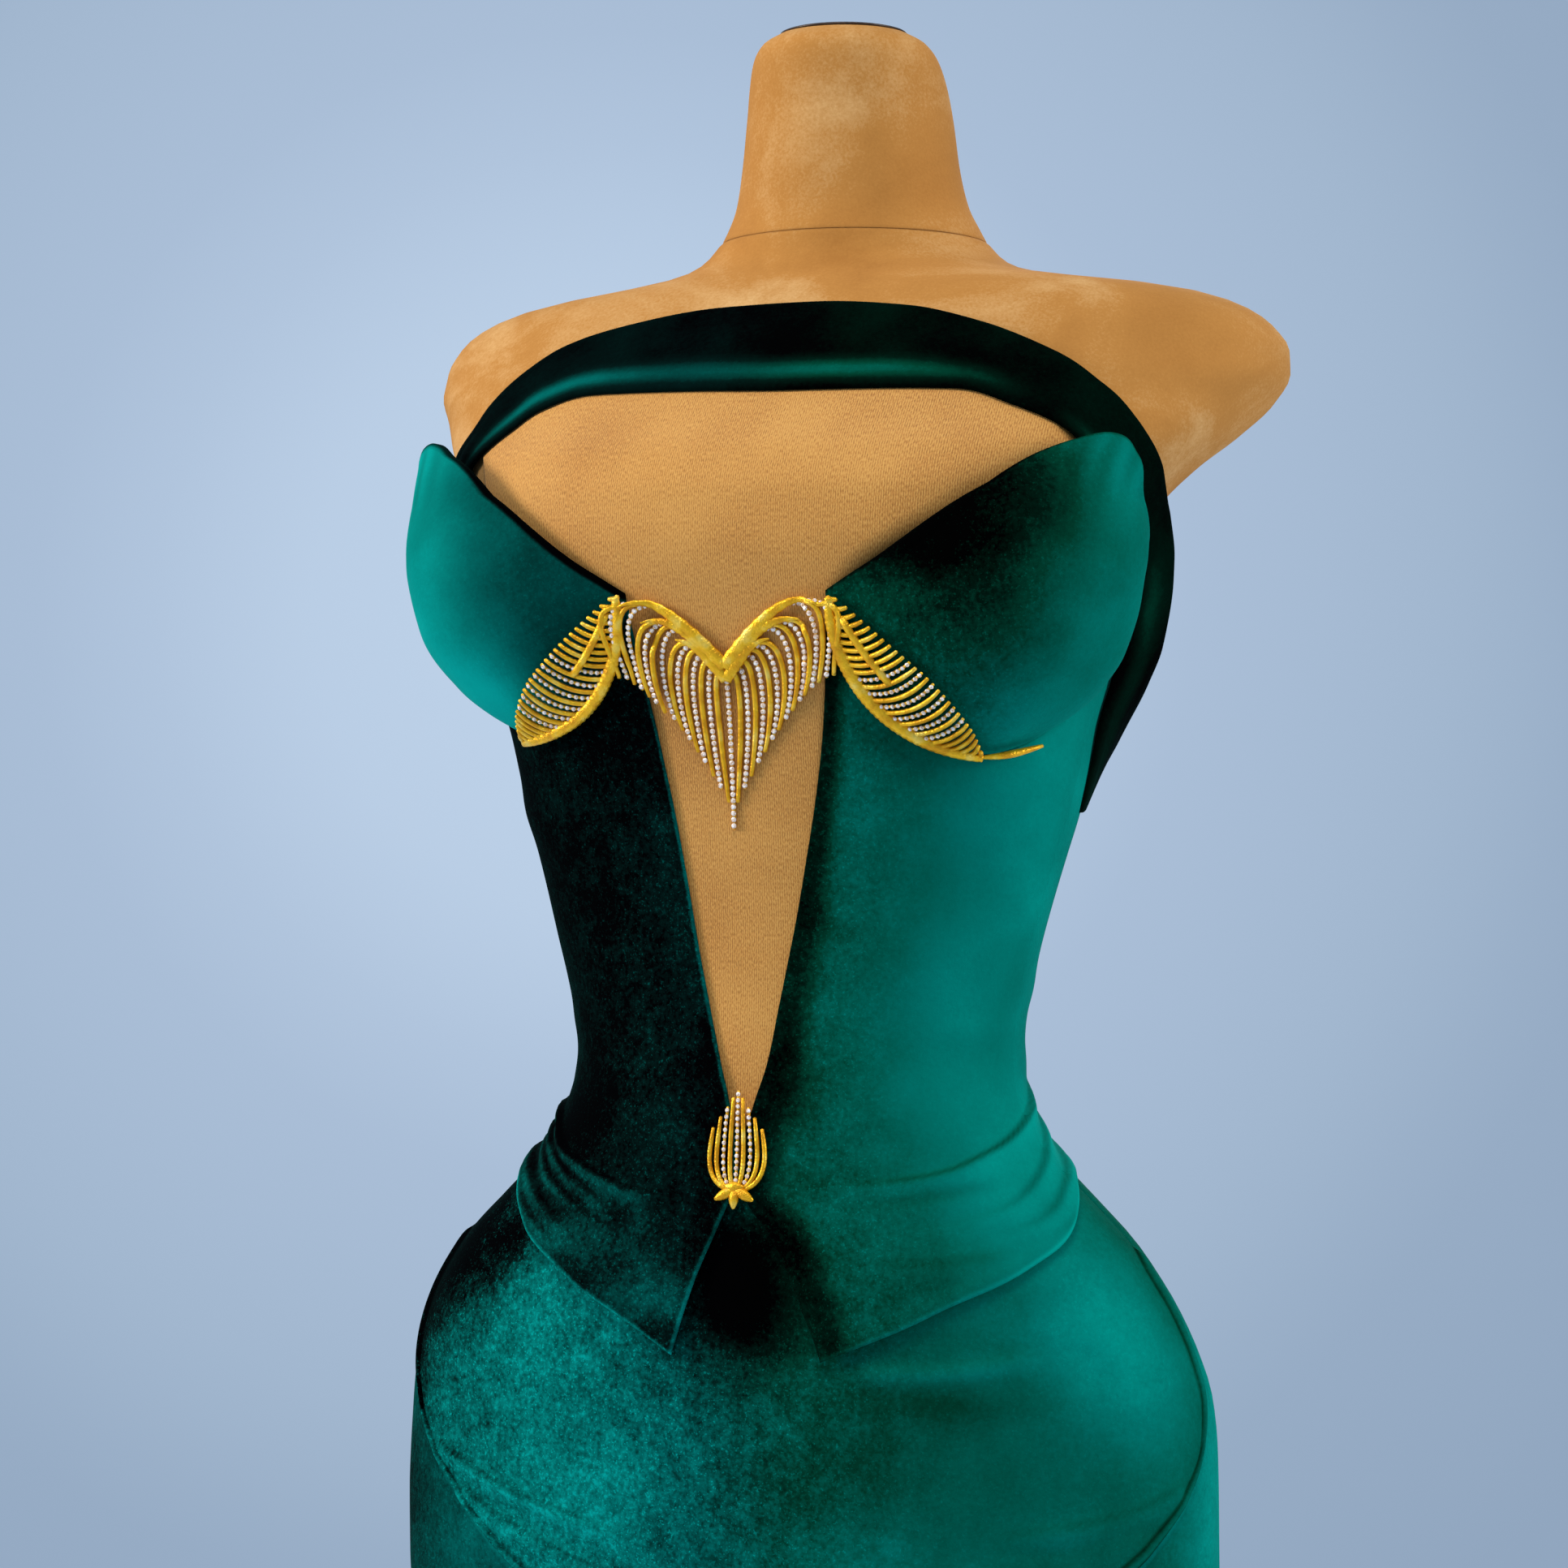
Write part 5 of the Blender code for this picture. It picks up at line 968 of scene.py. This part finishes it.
# long soft folds that fall from the hips and from the drape's seam into the flutes
skirtFolds = softPulls(
    0.3, 0.4,
    (0.0024, 0.0220, (-60.0, 0.835), (-52.0, 0.70), (-48.0, 0.50)),
    (0.0020, 0.0200, (60.0, 0.810), (52.0, 0.68), (50.0, 0.50)),
    (0.0018, 0.0180, (-20.0, 0.760), (-16.0, 0.62), (-18.0, 0.46)),
    (0.0016, 0.0180, (24.0, 0.750), (20.0, 0.62), (22.0, 0.44)),
    (-0.0016, 0.0160, (4.0, 0.740), (2.0, 0.60), (4.0, 0.42)),
    (0.0022, 0.0220, (120.0, 0.800), (126.0, 0.62), (124.0, 0.42)),
    (0.0020, 0.0220, (150.0, 0.780), (154.0, 0.60), (152.0, 0.42)),
    (0.0022, 0.0220, (-118.0, 0.800), (-124.0, 0.60), (-120.0, 0.40)),
    (0.0020, 0.0220, (-150.0, 0.770), (-156.0, 0.58), (-152.0, 0.40)),
)
# the drape's ramp and spots paint light and shade as well as the lie of the pile, darkest between the flaps
# under the brooch
drapePiece = {
    "flat": (0.46, 0.25), "area": 0.092, "held": "draped", "round": 0.0018,
    "restsOn": ["form_body", "skirt_front"],
    "napLightAndShade": {"ramp": (0.00, 0.58, -76.0, -54.0), "spots": (
        (-60.0, 0.956, 15.0, 0.034, -0.50), (-49.0, 0.966, 8.0, 0.016, -0.40),
        (-36.0, 0.900, 18.0, 0.040, 0.12), (-3.0, 0.958, 6.5, 0.036, -0.60), (4.5, 0.960, 7.0, 0.030, -0.42),
        (5.0, 0.932, 10.0, 0.018, -0.30), (2.0, 0.906, 9.0, 0.016, -0.16), (-16.0, 0.855, 14.0, 0.030, 0.18),
        (8.0, 0.870, 12.0, 0.040, -0.14), (24.0, 0.872, 12.0, 0.030, -0.10),
        (30.0, 0.900, 12.0, 0.007, -0.12), (64.0, 0.930, 20.0, 0.060, 0.34), (26.0, 0.917, 8.0, 0.014, -0.10),
        (44.0, 0.820, 16.0, 0.020, -0.06), (26.0, 0.918, 10.0, 0.008, 0.10))},
    "crush": {"ramp": (0.85, 0.14, -14.0, 36.0), "spots": ((0.0, 0.950, 10.0, 0.030, -0.45),)},
}
# the pile's ramp and spots paint light and shade as well as the lie of the pile, darker at the wearer's right
# side and lighter at her left; its top edge is painted lighter
skirtFrontPiece = {
    "flat": (0.80, 0.96), "area": 0.480, "held": "hung", "turned": ("bottom",),
    "seams": ("inner", "outer", "top"), "edgeLightAndShade": {"top": (0.26, 0.0050)}, "restsOn": ["form_body"],
    "napLightAndShade": {"ramp": (0.46, 0.56, -30.0, 40.0), "spots": (
        (-72.0, 0.840, 16.0, 0.06, -0.24), (-90.0, 0.930, 8.0, 0.08, -0.50),
        (88.0, 0.860, 18.0, 0.09, 0.32))},
    "crush": {"ramp": (0.40, 0.20, -60.0, 60.0)},
}
# the spots paint shade at the wearer's right side seam and light at her left
skirtBackPiece = {
    "right": {"napLightAndShade": {"ramp": (0.40, 0.46, -140.0, -96.0), "spots": ((-92.0, 0.900, 16.0, 0.08, -0.36),)}},
    "left": {"napLightAndShade": {"ramp": (0.58, 0.50, 96.0, 140.0), "spots": ((92.0, 0.860, 18.0, 0.09, 0.30),)}},
    "both": {"flat": (0.40, 1.00), "area": 0.267, "held": "hung", "turned": ("bottom",),
             "seams": ("inner", "outer"), "restsOn": ["form_body"],
             "crush": {"ramp": (0.18, 0.18, 0.0, 1.0), "spots": ((-96.0, 0.50, 28.0, 0.60, 0.20),)}},
}


def skirtLift(height):
    # the lift, and a little more where the skirt joins the bodice
    join, low, high = skirtSize["join"]
    return skirtSize["lift"] + join * softStep(height, low, high)


def makeDrape():
    # hip panel between its two side edges and the curve below them; gives back its outer edge
    across, down = edgeShares(int(clothRows * 1.5), 0.45), edgeShares(clothRows, 0.18)
    right, left = fallingEdge(drapeRightEdge, down), fallingEdge(drapeLeftEdge, down)
    firstHalf = across <= 0.5
    curve = np.concatenate([alongPath(drapeRightCurve, across[firstHalf] * 2),
                            alongPath(drapeLeftCurve, (1 - across[~firstHalf]) * 2)])
    top = right[0] + (left[0] - right[0]) * across[:, None]
    grid = coons(top, curve, right, left, across, down)
    angle, height = grid[..., 0], grid[..., 1]
    near = edgeDistances(onBody(angle, height))
    apart = np.minimum(near["inner"], near["outer"]) + 0.02 * softStep(height, *drapeRoll["fades"])
    apart = np.minimum(apart, near["bottom"])
    roll = drapeRoll["rise"] * bell(apart, *drapeRoll["place"])
    relief, creaseLightAndShade = creases(drapeFolds, angle, height)
    # painted light and shade: the creases', a lighter roll, a painted shadow line beside it and painted shade
    # along the seam
    tone = creaseLightAndShade + 20 * roll - 0.30 * bell(apart, *drapeRoll["line"]) - 0.6 * bell(apart, *drapeRoll["seam"])
    clothPiece("velvetDrape", grid, skirtLift(height) + roll + relief, dict(drapePiece, paintedLightAndShade=tone),
               "skirt_front_drape")
    return np.concatenate([right[:-1], curve, left[-2::-1]])


def makeSkirt():
    # front panel from the drape's edge down to the hem, and two plain back panels; a short tab at
    # each end of the front's top runs out to the side seam
    corner, waist, hem, tab = (skirtSize[name] for name in ("seam", "top", "hem", "tab"))
    edge = makeDrape()
    along = runLength(edge * np.array([metresPerDegree, 1]))
    places = np.concatenate([[0], tab + (1 - 2 * tab) * along / along[-1], [1]])
    tabShares = np.array([0, 0.002, 0.005, 0.009])
    shares = np.concatenate([tabShares, np.linspace(tab, 1 - tab, int(clothRows * 1.6)), 1 - tabShares[::-1]])
    top = straightRows(places, np.concatenate([[(-corner, waist)], edge, [(corner, waist)]]), shares)
    fall = edgeShares(int(clothRows * 1.3), 0.9)
    grid = coons(top, joined(corner * (2 * shares - 1), hem), upright(-corner, waist, hem, fall),
                 upright(corner, waist, hem, fall), shares, fall)
    # the folds bring their painted light and shade, and the pile is painted lighter where the cloth rises and
    # darker where it sinks
    relief, creaseLightAndShade = creases(skirtFolds, grid[..., 0], grid[..., 1])
    clothPiece("velvetSkirtFront", grid, skirtLift(grid[..., 1]) + np.maximum(relief, -0.001),
               dict(skirtFrontPiece, paintedLightAndShade=creaseLightAndShade + 20 * relief), "skirt_front")
    for side, sign in sides:
        turns = sign * (corner + (180.0 - corner) * edgeShares(int(clothRows * 0.8), 0.3))
        height = waist + (hem - waist) * edgeShares(int(clothRows * 1.3), 1.0)
        grid = joined(turns, height[:, None])
        # painted light and shade of the folds, as on the front
        relief, creaseLightAndShade = creases(skirtFolds, grid[..., 0], grid[..., 1])
        settings = dict(skirtBackPiece["both"], **skirtBackPiece[side], paintedLightAndShade=creaseLightAndShade + 20 * relief)
        clothPiece("velvetSkirtBack" + side.title(), grid, skirtLift(grid[..., 1]) + relief, settings,
                   "skirt_back_" + side)


makeSkirt()

trimSize = {"wire": 0.00095, "stoneStep": 0.00290, "clearance": 0.0006, "overMesh": 0.0018,
            "overCloth": 0.0005,
            # a jewelled bar's wire is thinner and sunk, with its stones set on it, as shares of a plain wire
            "thinner": 0.62, "sunk": 0.35, "set": 0.25}


def frontAngle(x, height):
    # angle whose point at that height has this x: Newton steps on x(angle)
    angle = np.degrees(np.arcsin(np.clip(x / 0.16, -0.95, 0.95)))
    for _ in range(12):
        here = onBody(angle, height)[..., 0]
        slope = (onBody(angle + 0.2, height)[..., 0] - onBody(angle - 0.2, height)[..., 0]) / 0.4
        angle = angle - np.clip((here - x) / np.maximum(slope, 5e-4), -8, 8)
    return angle


def outerLift(angle, height):
    # outside of whatever cloth lies under a trim: mesh, bodice or cup
    turn = np.abs(angle)
    total = np.full(np.shape(angle), trimSize["overMesh"])
    for side, sign in sides:
        mine = angle * sign > 0
        edge = np.abs(angleAt(slitEdges[side], np.clip(height, 0.921, 1.2719)))
        low, high, _ = cupEdges(turn, side)
        onPanel = mine & (turn > edge - 0.6) & (height < low + 0.002)
        onCup = mine & (turn > slitTurn - 0.3) & (height >= low - 0.002) & (height < high + 0.002)
        panel = bodiceLift(angle, height) + velvetWall + trimSize["overCloth"]
        cup = cupLift(angle, height, side) + cupSize["both"]["wall"] + trimSize["overCloth"]
        total = np.where(onPanel, np.maximum(total, panel), total)
        total = np.where(onCup, np.maximum(total, cup), total)
    return total


def restingLift(x, height, reach):
    # highest outside within reach of each point, so that a stiff trim bridges the dips
    angle = frontAngle(x, height)
    total = outerLift(angle, height)
    for turn in np.linspace(0, 2 * math.pi, 8, endpoint=False):
        for share in (0.5, 1.0):
            dx, dz = reach * share * math.cos(turn), reach * share * math.sin(turn)
            total = np.maximum(total, outerLift(frontAngle(x + dx, height + dz), height + dz))
    return angle, total


def trimFrames(lines, reach, extra=0.0):
    # points on the body for lines of (x, height), with unit directions along, out and across; the
    # lift is a weighted mean of three neighbours
    angle, lift = restingLift(lines[..., 0], lines[..., 1], reach)
    padded = np.pad(lift, ((0, 0), (1, 1)), "edge")
    lift = 0.25 * padded[:, :-2] + 0.5 * padded[:, 1:-1] + 0.25 * padded[:, 2:]
    out = outward(angle, lines[..., 1])
    apart = lift + trimSize["clearance"] + trimSize["wire"] + extra
    points = onBody(angle, lines[..., 1]) + out * apart[..., None]
    along = np.gradient(points, axis=1)
    along /= np.linalg.norm(along, axis=-1, keepdims=True)
    out -= along * (along * out).sum(axis=-1, keepdims=True)
    out /= np.linalg.norm(out, axis=-1, keepdims=True)
    return points, along, out, np.cross(out, along)


def tubes(points, out, across, radius, count=8):
    # circle of the radius carried along each line, closed by a fan at both ends
    lines, steps = points.shape[:2]
    turn = np.linspace(0, 2 * math.pi, count, endpoint=False)[:, None]
    radius = np.broadcast_to(radius, (lines, steps))[..., None]
    circle = out[:, :, None] * np.cos(turn) + across[:, :, None] * np.sin(turn)
    ring = points[:, :, None] + radius[..., None] * circle
    cap = 0.6 * radius * np.cross(across, out)
    tips = np.stack([points[:, 0] - cap[:, 0], points[:, -1] + cap[:, -1]], axis=1)
    verts = np.concatenate([ring.reshape(lines, -1, 3), tips], axis=1)
    shift = np.arange(lines)[:, None, None] * verts.shape[1]
    walls, fans = ringFaces(steps, count)
    faces = (walls[:, [0, 3, 2, 1]] + shift).reshape(-1, 4).tolist()
    faces += (fans[:, [1, 0, 2]] + shift).reshape(-1, 3).tolist()
    return verts.reshape(-1, 3), faces


# cut stone: table and girdle octagons over a point
gemTurn = np.arange(8) * math.pi / 4 + math.pi / 8
gemShape = np.concatenate([joined(0.52 * np.cos(gemTurn), 0.52 * np.sin(gemTurn), 0.55),
                           joined(np.cos(gemTurn), np.sin(gemTurn), 0.0), [[0, 0, -0.8]]])
gemFaces = [list(range(8))] + [[8 + i, 8 + (i + 1) % 8, (i + 1) % 8, i] for i in range(8)]
gemFaces += [[8 + (i + 1) % 8, 8 + i, 16] for i in range(8)]


def gems(points, along, out, across, radius):
    # one stone at each point, its table facing out
    frames = np.stack([along, -across, out], axis=-2)
    verts = points[:, None] + radius * np.einsum("vk,nkj->nvj", gemShape, frames)
    faces = [[i + len(gemShape) * n for i in face] for n in range(len(points)) for face in gemFaces]
    return verts.reshape(-1, 3), faces


def bezier(start, first, second, end, steps):
    # cubic with four control points a line
    t = np.linspace(0, 1, steps)[None, :, None]
    start, first, second, end = (p[:, None] for p in (start, first, second, end))
    return (1 - t)**3 * start + 3 * (1 - t)**2 * t * first + 3 * (1 - t) * t**2 * second + t**3 * end


def evenSteps(line, spacing):
    # places at even spacing along one line of points, as fractional indexes
    length = runLength(line)
    count = max(2, int(length[-1] / spacing))
    return np.interp((np.arange(count) + 0.5) * length[-1] / count, length, np.arange(len(line)))


def joinTrim(name, parts, node):
    # parts of ((verts, faces), material index) in one object, whose stones are flat faced
    verts, faces, slots, total = [], [], [], 0
    for (partVerts, partFaces), slot in parts:
        verts.append(partVerts)
        faces += [[i + total for i in face] for face in partFaces]
        slots += [slot] * len(partFaces)
        total += len(partVerts)
    thing = makeObject(name, np.concatenate(verts), faces, [gold, crystal], slots)
    thing.data.polygons.foreach_set("use_smooth", np.array(slots) == 0)
    enter(thing, node)
    print("trim", name, "with", sum(len(face) - 2 for face in faces), "triangles")


def barParts(lines, jewelled, reach, wire, stone):
    # a plain bar is one wire, thinner at its end; a jewelled bar is a thinner wire with a row of
    # stones on it
    points, along, out, across = trimFrames(lines, reach)
    index = np.arange(lines.shape[1])
    plain = ~jewelled
    taper = 1 - 0.25 * softStep(index / index[-1], 0.75, 1.0)
    parts = [(tubes(points[plain], out[plain], across[plain], wire * taper), 0)]
    points, along, out, across = (values[jewelled] for values in (points, along, out, across))
    thin = wire * trimSize["thinner"]
    parts.append((tubes(points - out * wire * trimSize["sunk"], out, across, thin), 0))
    for bar in zip(points, along, out, across):
        at = evenSteps(bar[0], trimSize["stoneStep"])
        line, a, o, c = (straightRows(index, values, at) for values in bar)
        parts.append((gems(line + o * wire * trimSize["set"], a, o, c, stone), 1))
    return parts


fanSize = {"bars": 15, "centre": -0.0022, "point": 1.2415, "steps": 30, "lean": 0.020, "reach": 0.008,
           "wire": 0.00142, "stone": 0.00134,
           # control points (x, height over the point) of each arm, and its half width at both ends and
           # in the middle
           "arms": (
               ((0.0000, 0.0050), (0.0130, 0.0190), (0.0330, 0.0420), (0.0490, 0.0335),
                (0.0036, 0.0010, 0.0005)),
               ((0.0000, -0.0010), (0.0080, 0.0085), (0.0140, 0.0170), (0.0235, 0.0175),
                (0.0030, 0.0010, 0.0004)),
               ((0.0100, 0.0130), (0.0190, 0.0230), (0.0270, 0.0280), (0.0390, 0.0262),
                (0.0022, 0.0012, 0.0004)))}


def makeFan():
    # bars leave the arms sideways, arch outwards and come back in to hooked tips on two slopes
    count, steps, reach = fanSize["bars"], fanSize["steps"], fanSize["reach"]
    share = np.arange(1, count + 1) / count
    rootX = 0.0370 * share + 0.0110 * share**4
    shift = np.array([fanSize["centre"], fanSize["point"]])
    arms = bezier(*(np.array([arm[k] for arm in fanSize["arms"]]) for k in range(4)), steps)
    heights = [np.interp(rootX, arm[:, 0], arm[:, 1]) for arm in arms]
    rootZ = np.select([rootX < 0.0190, rootX < 0.0330], [heights[1], heights[2]], heights[0]) - 0.0006
    tip = joined(0.0530 * share - 0.0014 * (1 - share), 0.0010 * share - 0.0660 * (1 - share)**1.5)
    root = joined(rootX, rootZ)
    first = root + joined(0.0045 + 0.0135 * share, 0.0030 - 0.0010 * share)
    bow = 0.0022 + 0.0062 * np.sin(math.pi * share)
    second = joined(tip[:, 0] + bow, tip[:, 1] + 0.55 * (rootZ - tip[:, 1]))
    lines = bezier(root, first, second, tip, steps)
    middle = joined(0.0, np.linspace(-0.0010, -0.0725, steps))[None]
    mirror = np.array([-1.0, 1.0])
    allLines = np.concatenate([lines * mirror, middle, lines]) + shift
    # the whole trim leans to the wearer's right as it goes down
    allLines[..., 0] -= fanSize["lean"] * (fanSize["point"] - allLines[..., 1])
    everyOther = np.arange(1, count + 1) % 2 == 0
    jewelled = np.concatenate([everyOther, [True], everyOther])
    parts = barParts(allLines, jewelled, reach, fanSize["wire"], fanSize["stone"])
    points, _, out, across = trimFrames(np.concatenate([arms, arms * mirror]) + shift, reach, 0.0014)
    t = np.linspace(0, 1, steps)
    root, middle, end = np.array([arm[4] for arm in fanSize["arms"]]).T[..., None]
    half = root * (1 - t)**1.3 + middle * np.sin(math.pi * t) + end * t
    half = np.tile(half * (1 + 0.08 * np.cos(t * 60)), (2, 1))
    parts.append((tubes(points, out * 0.55, across, half, 12), 0))
    joinTrim("goldFan", parts, "fan_trim")


wingSize = {"tines": 27, "steps": 14, "fine": 121, "reach": 0.004, "wire": 0.00126, "stone": 0.00116,
            "quill": (0.0215, 0.0058),
            # control points (x, height) of the spine and of the line that the tips follow
            "left": {"spine": ((0.0515, 1.2780), (0.0490, 1.2460), (0.0700, 1.2110), (0.1080, 1.2050)),
                     "tips": ((0.0560, 1.2770), (0.0800, 1.2580), (0.1030, 1.2420), (0.1080, 1.2085))},
            "right": {"spine": ((0.0515, 1.2800), (0.0490, 1.2500), (0.0690, 1.2165), (0.1130, 1.2130)),
                      "tips": ((0.0560, 1.2790), (0.0770, 1.2630), (0.1010, 1.2490), (0.1110, 1.2180))}}


def makeWings():
    # a tine from each place of the spine to a place a little further along the tips' curve, bowed
    # down and then up, the middle third jewelled; a pebbled band makes the spine
    count, steps, reach = wingSize["tines"], wingSize["steps"], wingSize["reach"]
    share, fine = np.linspace(0, 1, count), np.linspace(0, 1, wingSize["fine"])
    jewelled = (share > 0.34) & (share < 0.80) & (np.arange(count) % 2 == 0)
    for side, sign in sides:
        flip = np.array([sign, 1.0])
        spine, tips = (bezier(*np.array(wingSize[side][name])[:, None], len(fine))[0]
                       for name in ("spine", "tips"))
        start, end = straightRows(fine, spine, share), straightRows(fine, tips, share**0.85)
        run = end - start
        square = joined(-run[:, 1], run[:, 0])
        lines = bezier(start, start + run * 0.30 - square * 0.20, start + run * 0.66 - square * 0.16, end,
                       steps)
        parts = barParts(lines * flip, jewelled, reach, wingSize["wire"], wingSize["stone"])
        # a cross band ties the upper tines at their middles
        tie = lines[2:int(count * 0.46), steps // 2]
        cord = spine + np.array([0.0010, -0.0004])
        half = 0.0012 + 0.0021 * np.sin(math.pi * (0.10 + 0.84 * fine))**0.7 * (1 + 0.10 * np.cos(fine * 230))
        for band, width, corners in ((tie, np.full(len(tie), 0.0019), 10), (cord, half, 12)):
            points, _, out, across = trimFrames((band * flip)[None], reach, 0.0007)
            parts.append((tubes(points, out * 0.6, across, width[None], corners), 0))
        if side == "left":
            # straight quill at the end, thickest in its middle
            t = np.linspace(0, 1, 16)[:, None]
            quill = spine[-1] + t * np.array(wingSize["quill"]) + np.array([0, -0.0010]) * np.sin(math.pi * t)
            points, _, out, across = trimFrames((quill * flip)[None], reach, 0.0004)
            thick = 0.0007 + 0.0012 * np.sin(math.pi * t[:, 0] * 0.94)
            parts.append((tubes(points, out, across, thick[None]), 0))
        joinTrim("goldWing" + side.title(), parts, "wing_trim_" + side)


broochSize = {"tines": 9, "foot": 0.9970, "top": 1.0445, "steps": 18, "reach": 0.010, "wire": 0.00118,
              "stone": 0.00110, "jewelled": (2, 4, 6),
              # each leaf from (x, height) to (x, height)
              "leaves": ((0.0, 0.9985, -0.0092, 0.9932), (0.0, 0.9985, 0.0, 0.9892),
                         (0.0, 0.9985, 0.0092, 0.9932), (-0.0042, 0.9993, 0.0042, 0.9993))}


def makeBrooch():
    # nested pairs of tines swell out from the foot and close again, on three pointed leaves
    share = np.linspace(-1, 1, broochSize["tines"])
    outer, foot, reach = np.abs(share), broochSize["foot"], broochSize["reach"]
    tip = joined(0.0118 * share * (0.70 + 0.30 * outer), broochSize["top"] - 0.0175 * outer**1.2)
    root = joined(0.0034 * share, foot + 0.0010)
    first = joined(0.0170 * share, foot + 0.0080 - 0.0030 * outer)
    lines = bezier(root, first, joined(0.0132 * share, foot + 0.0200), tip, broochSize["steps"])
    jewelled = np.isin(np.arange(len(share)), broochSize["jewelled"])
    parts = barParts(lines, jewelled, reach, broochSize["wire"], broochSize["stone"])
    start, end = np.split(np.array(broochSize["leaves"]), 2, axis=1)
    t = np.linspace(0, 1, 12)
    points, _, out, across = trimFrames(start[:, None] + (end - start)[:, None] * t[:, None], reach, 0.0014)
    swell = 0.0005 + 0.0020 * np.sin(math.pi * (0.06 + 0.90 * t))
    parts.append((tubes(points, out * 0.7, across, swell, 12), 0))
    joinTrim("goldBrooch", parts, "waist_brooch")


makeFan()
makeWings()
makeBrooch()

for node in ("zip_slider", "zip_pull"):
    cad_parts[node].material_slots[0].material = zinc
print("zip finished")


def around(azimuth, distance, height):
    # place at an angle from the front, a distance from the middle and a height
    turn = math.radians(azimuth)
    return distance * math.sin(turn), -distance * math.cos(turn), height


def stand(name, data, azimuth, distance, height, tilt):
    # lamp or camera that looks at the middle, tilted down from level
    thing = bpy.data.objects.new(name, data)
    thing.location = around(azimuth, distance, height)
    thing.rotation_euler = (math.pi / 2 - tilt, 0, math.radians(azimuth))
    bpy.context.scene.collection.objects.link(thing)
    return thing


floorSize = {"radius": 2.3, "corners": 96, "colour": "#D9E2EE"}
turn = np.linspace(0, 2 * math.pi, floorSize["corners"], endpoint=False)
floorVerts = joined(floorSize["radius"] * np.cos(turn), floorSize["radius"] * np.sin(turn), 0.0)
floorPaint, floorShader = newMaterial("studioFloor")
floorShader.inputs["Base Color"].default_value = hexColour(floorSize["colour"])
floorShader.inputs["Roughness"].default_value = 0.8
makeObject("studioFloor", floorVerts, [list(range(len(turn)))], [floorPaint], smooth=False)

world = bpy.data.worlds.new("studio")
bpy.context.scene.world = world
world.use_nodes = True
# backdrop: pale blue where the camera looks, a little deeper away from there
sight = addNode(world, "TexCoord", out="Generated")
facing = addNode(world, "VectorMath", {"operation": "DOT_PRODUCT"}, {1: (-0.385, 0.921, 0.045)}, {0: sight},
                 out="Value")
backdrop = addNode(world, "ValToRGB", links={0: facing}, stops=(
    (0.945, "#91A6BF"), (0.966, "#97ACC5"), (0.9755, "#A1B6CE"), (0.990, "#ABBFD8"), (0.998, "#BED2E9")))
world.node_tree.links.new(backdrop, world.node_tree.nodes["Background"].inputs["Color"])
world.node_tree.nodes["Background"].inputs["Strength"].default_value = 1.0
bpy.context.scene.view_settings.view_transform = "Standard"

# azimuth from the front, height, distance, size, power, colour
studioLights = {
    "keyLeft": (-62.0, 1.95, 2.4, 0.8, 46.0, "#FFF4E6"),
    "sideRight": (92.0, 1.70, 2.4, 0.8, 30.0, "#FFF6EA"),
    "above": (8.0, 3.40, 1.3, 1.2, 34.0, "#FFF8EE"),
    "behind": (190.0, 2.10, 2.4, 1.2, 16.0, "#FFFFFF"),
}
aimHeight = 1.15
for name, (azimuth, height, distance, size, power, colour) in studioLights.items():
    light = bpy.data.lights.new(name, "AREA")
    light.shape = "DISK"
    light.size = size
    light.energy = power
    light.color = hexColour(colour)[:3]
    stand(name, light, azimuth, distance, height, math.atan2(height - aimHeight, distance))

cameraSize = {"azimuth": 20.0, "distance": 1.9, "height": 1.19, "lens": 88.5, "shift": -0.0109,
              "sensor": 36.0}
camera = bpy.data.cameras.new("camera")
camera.sensor_width = cameraSize["sensor"]
camera.lens = cameraSize["lens"]
camera.shift_x = cameraSize["shift"]
eye = (cameraSize[key] for key in ("azimuth", "distance", "height"))
bpy.context.scene.camera = stand("camera", camera, *eye, 0.0)
print("studio made")
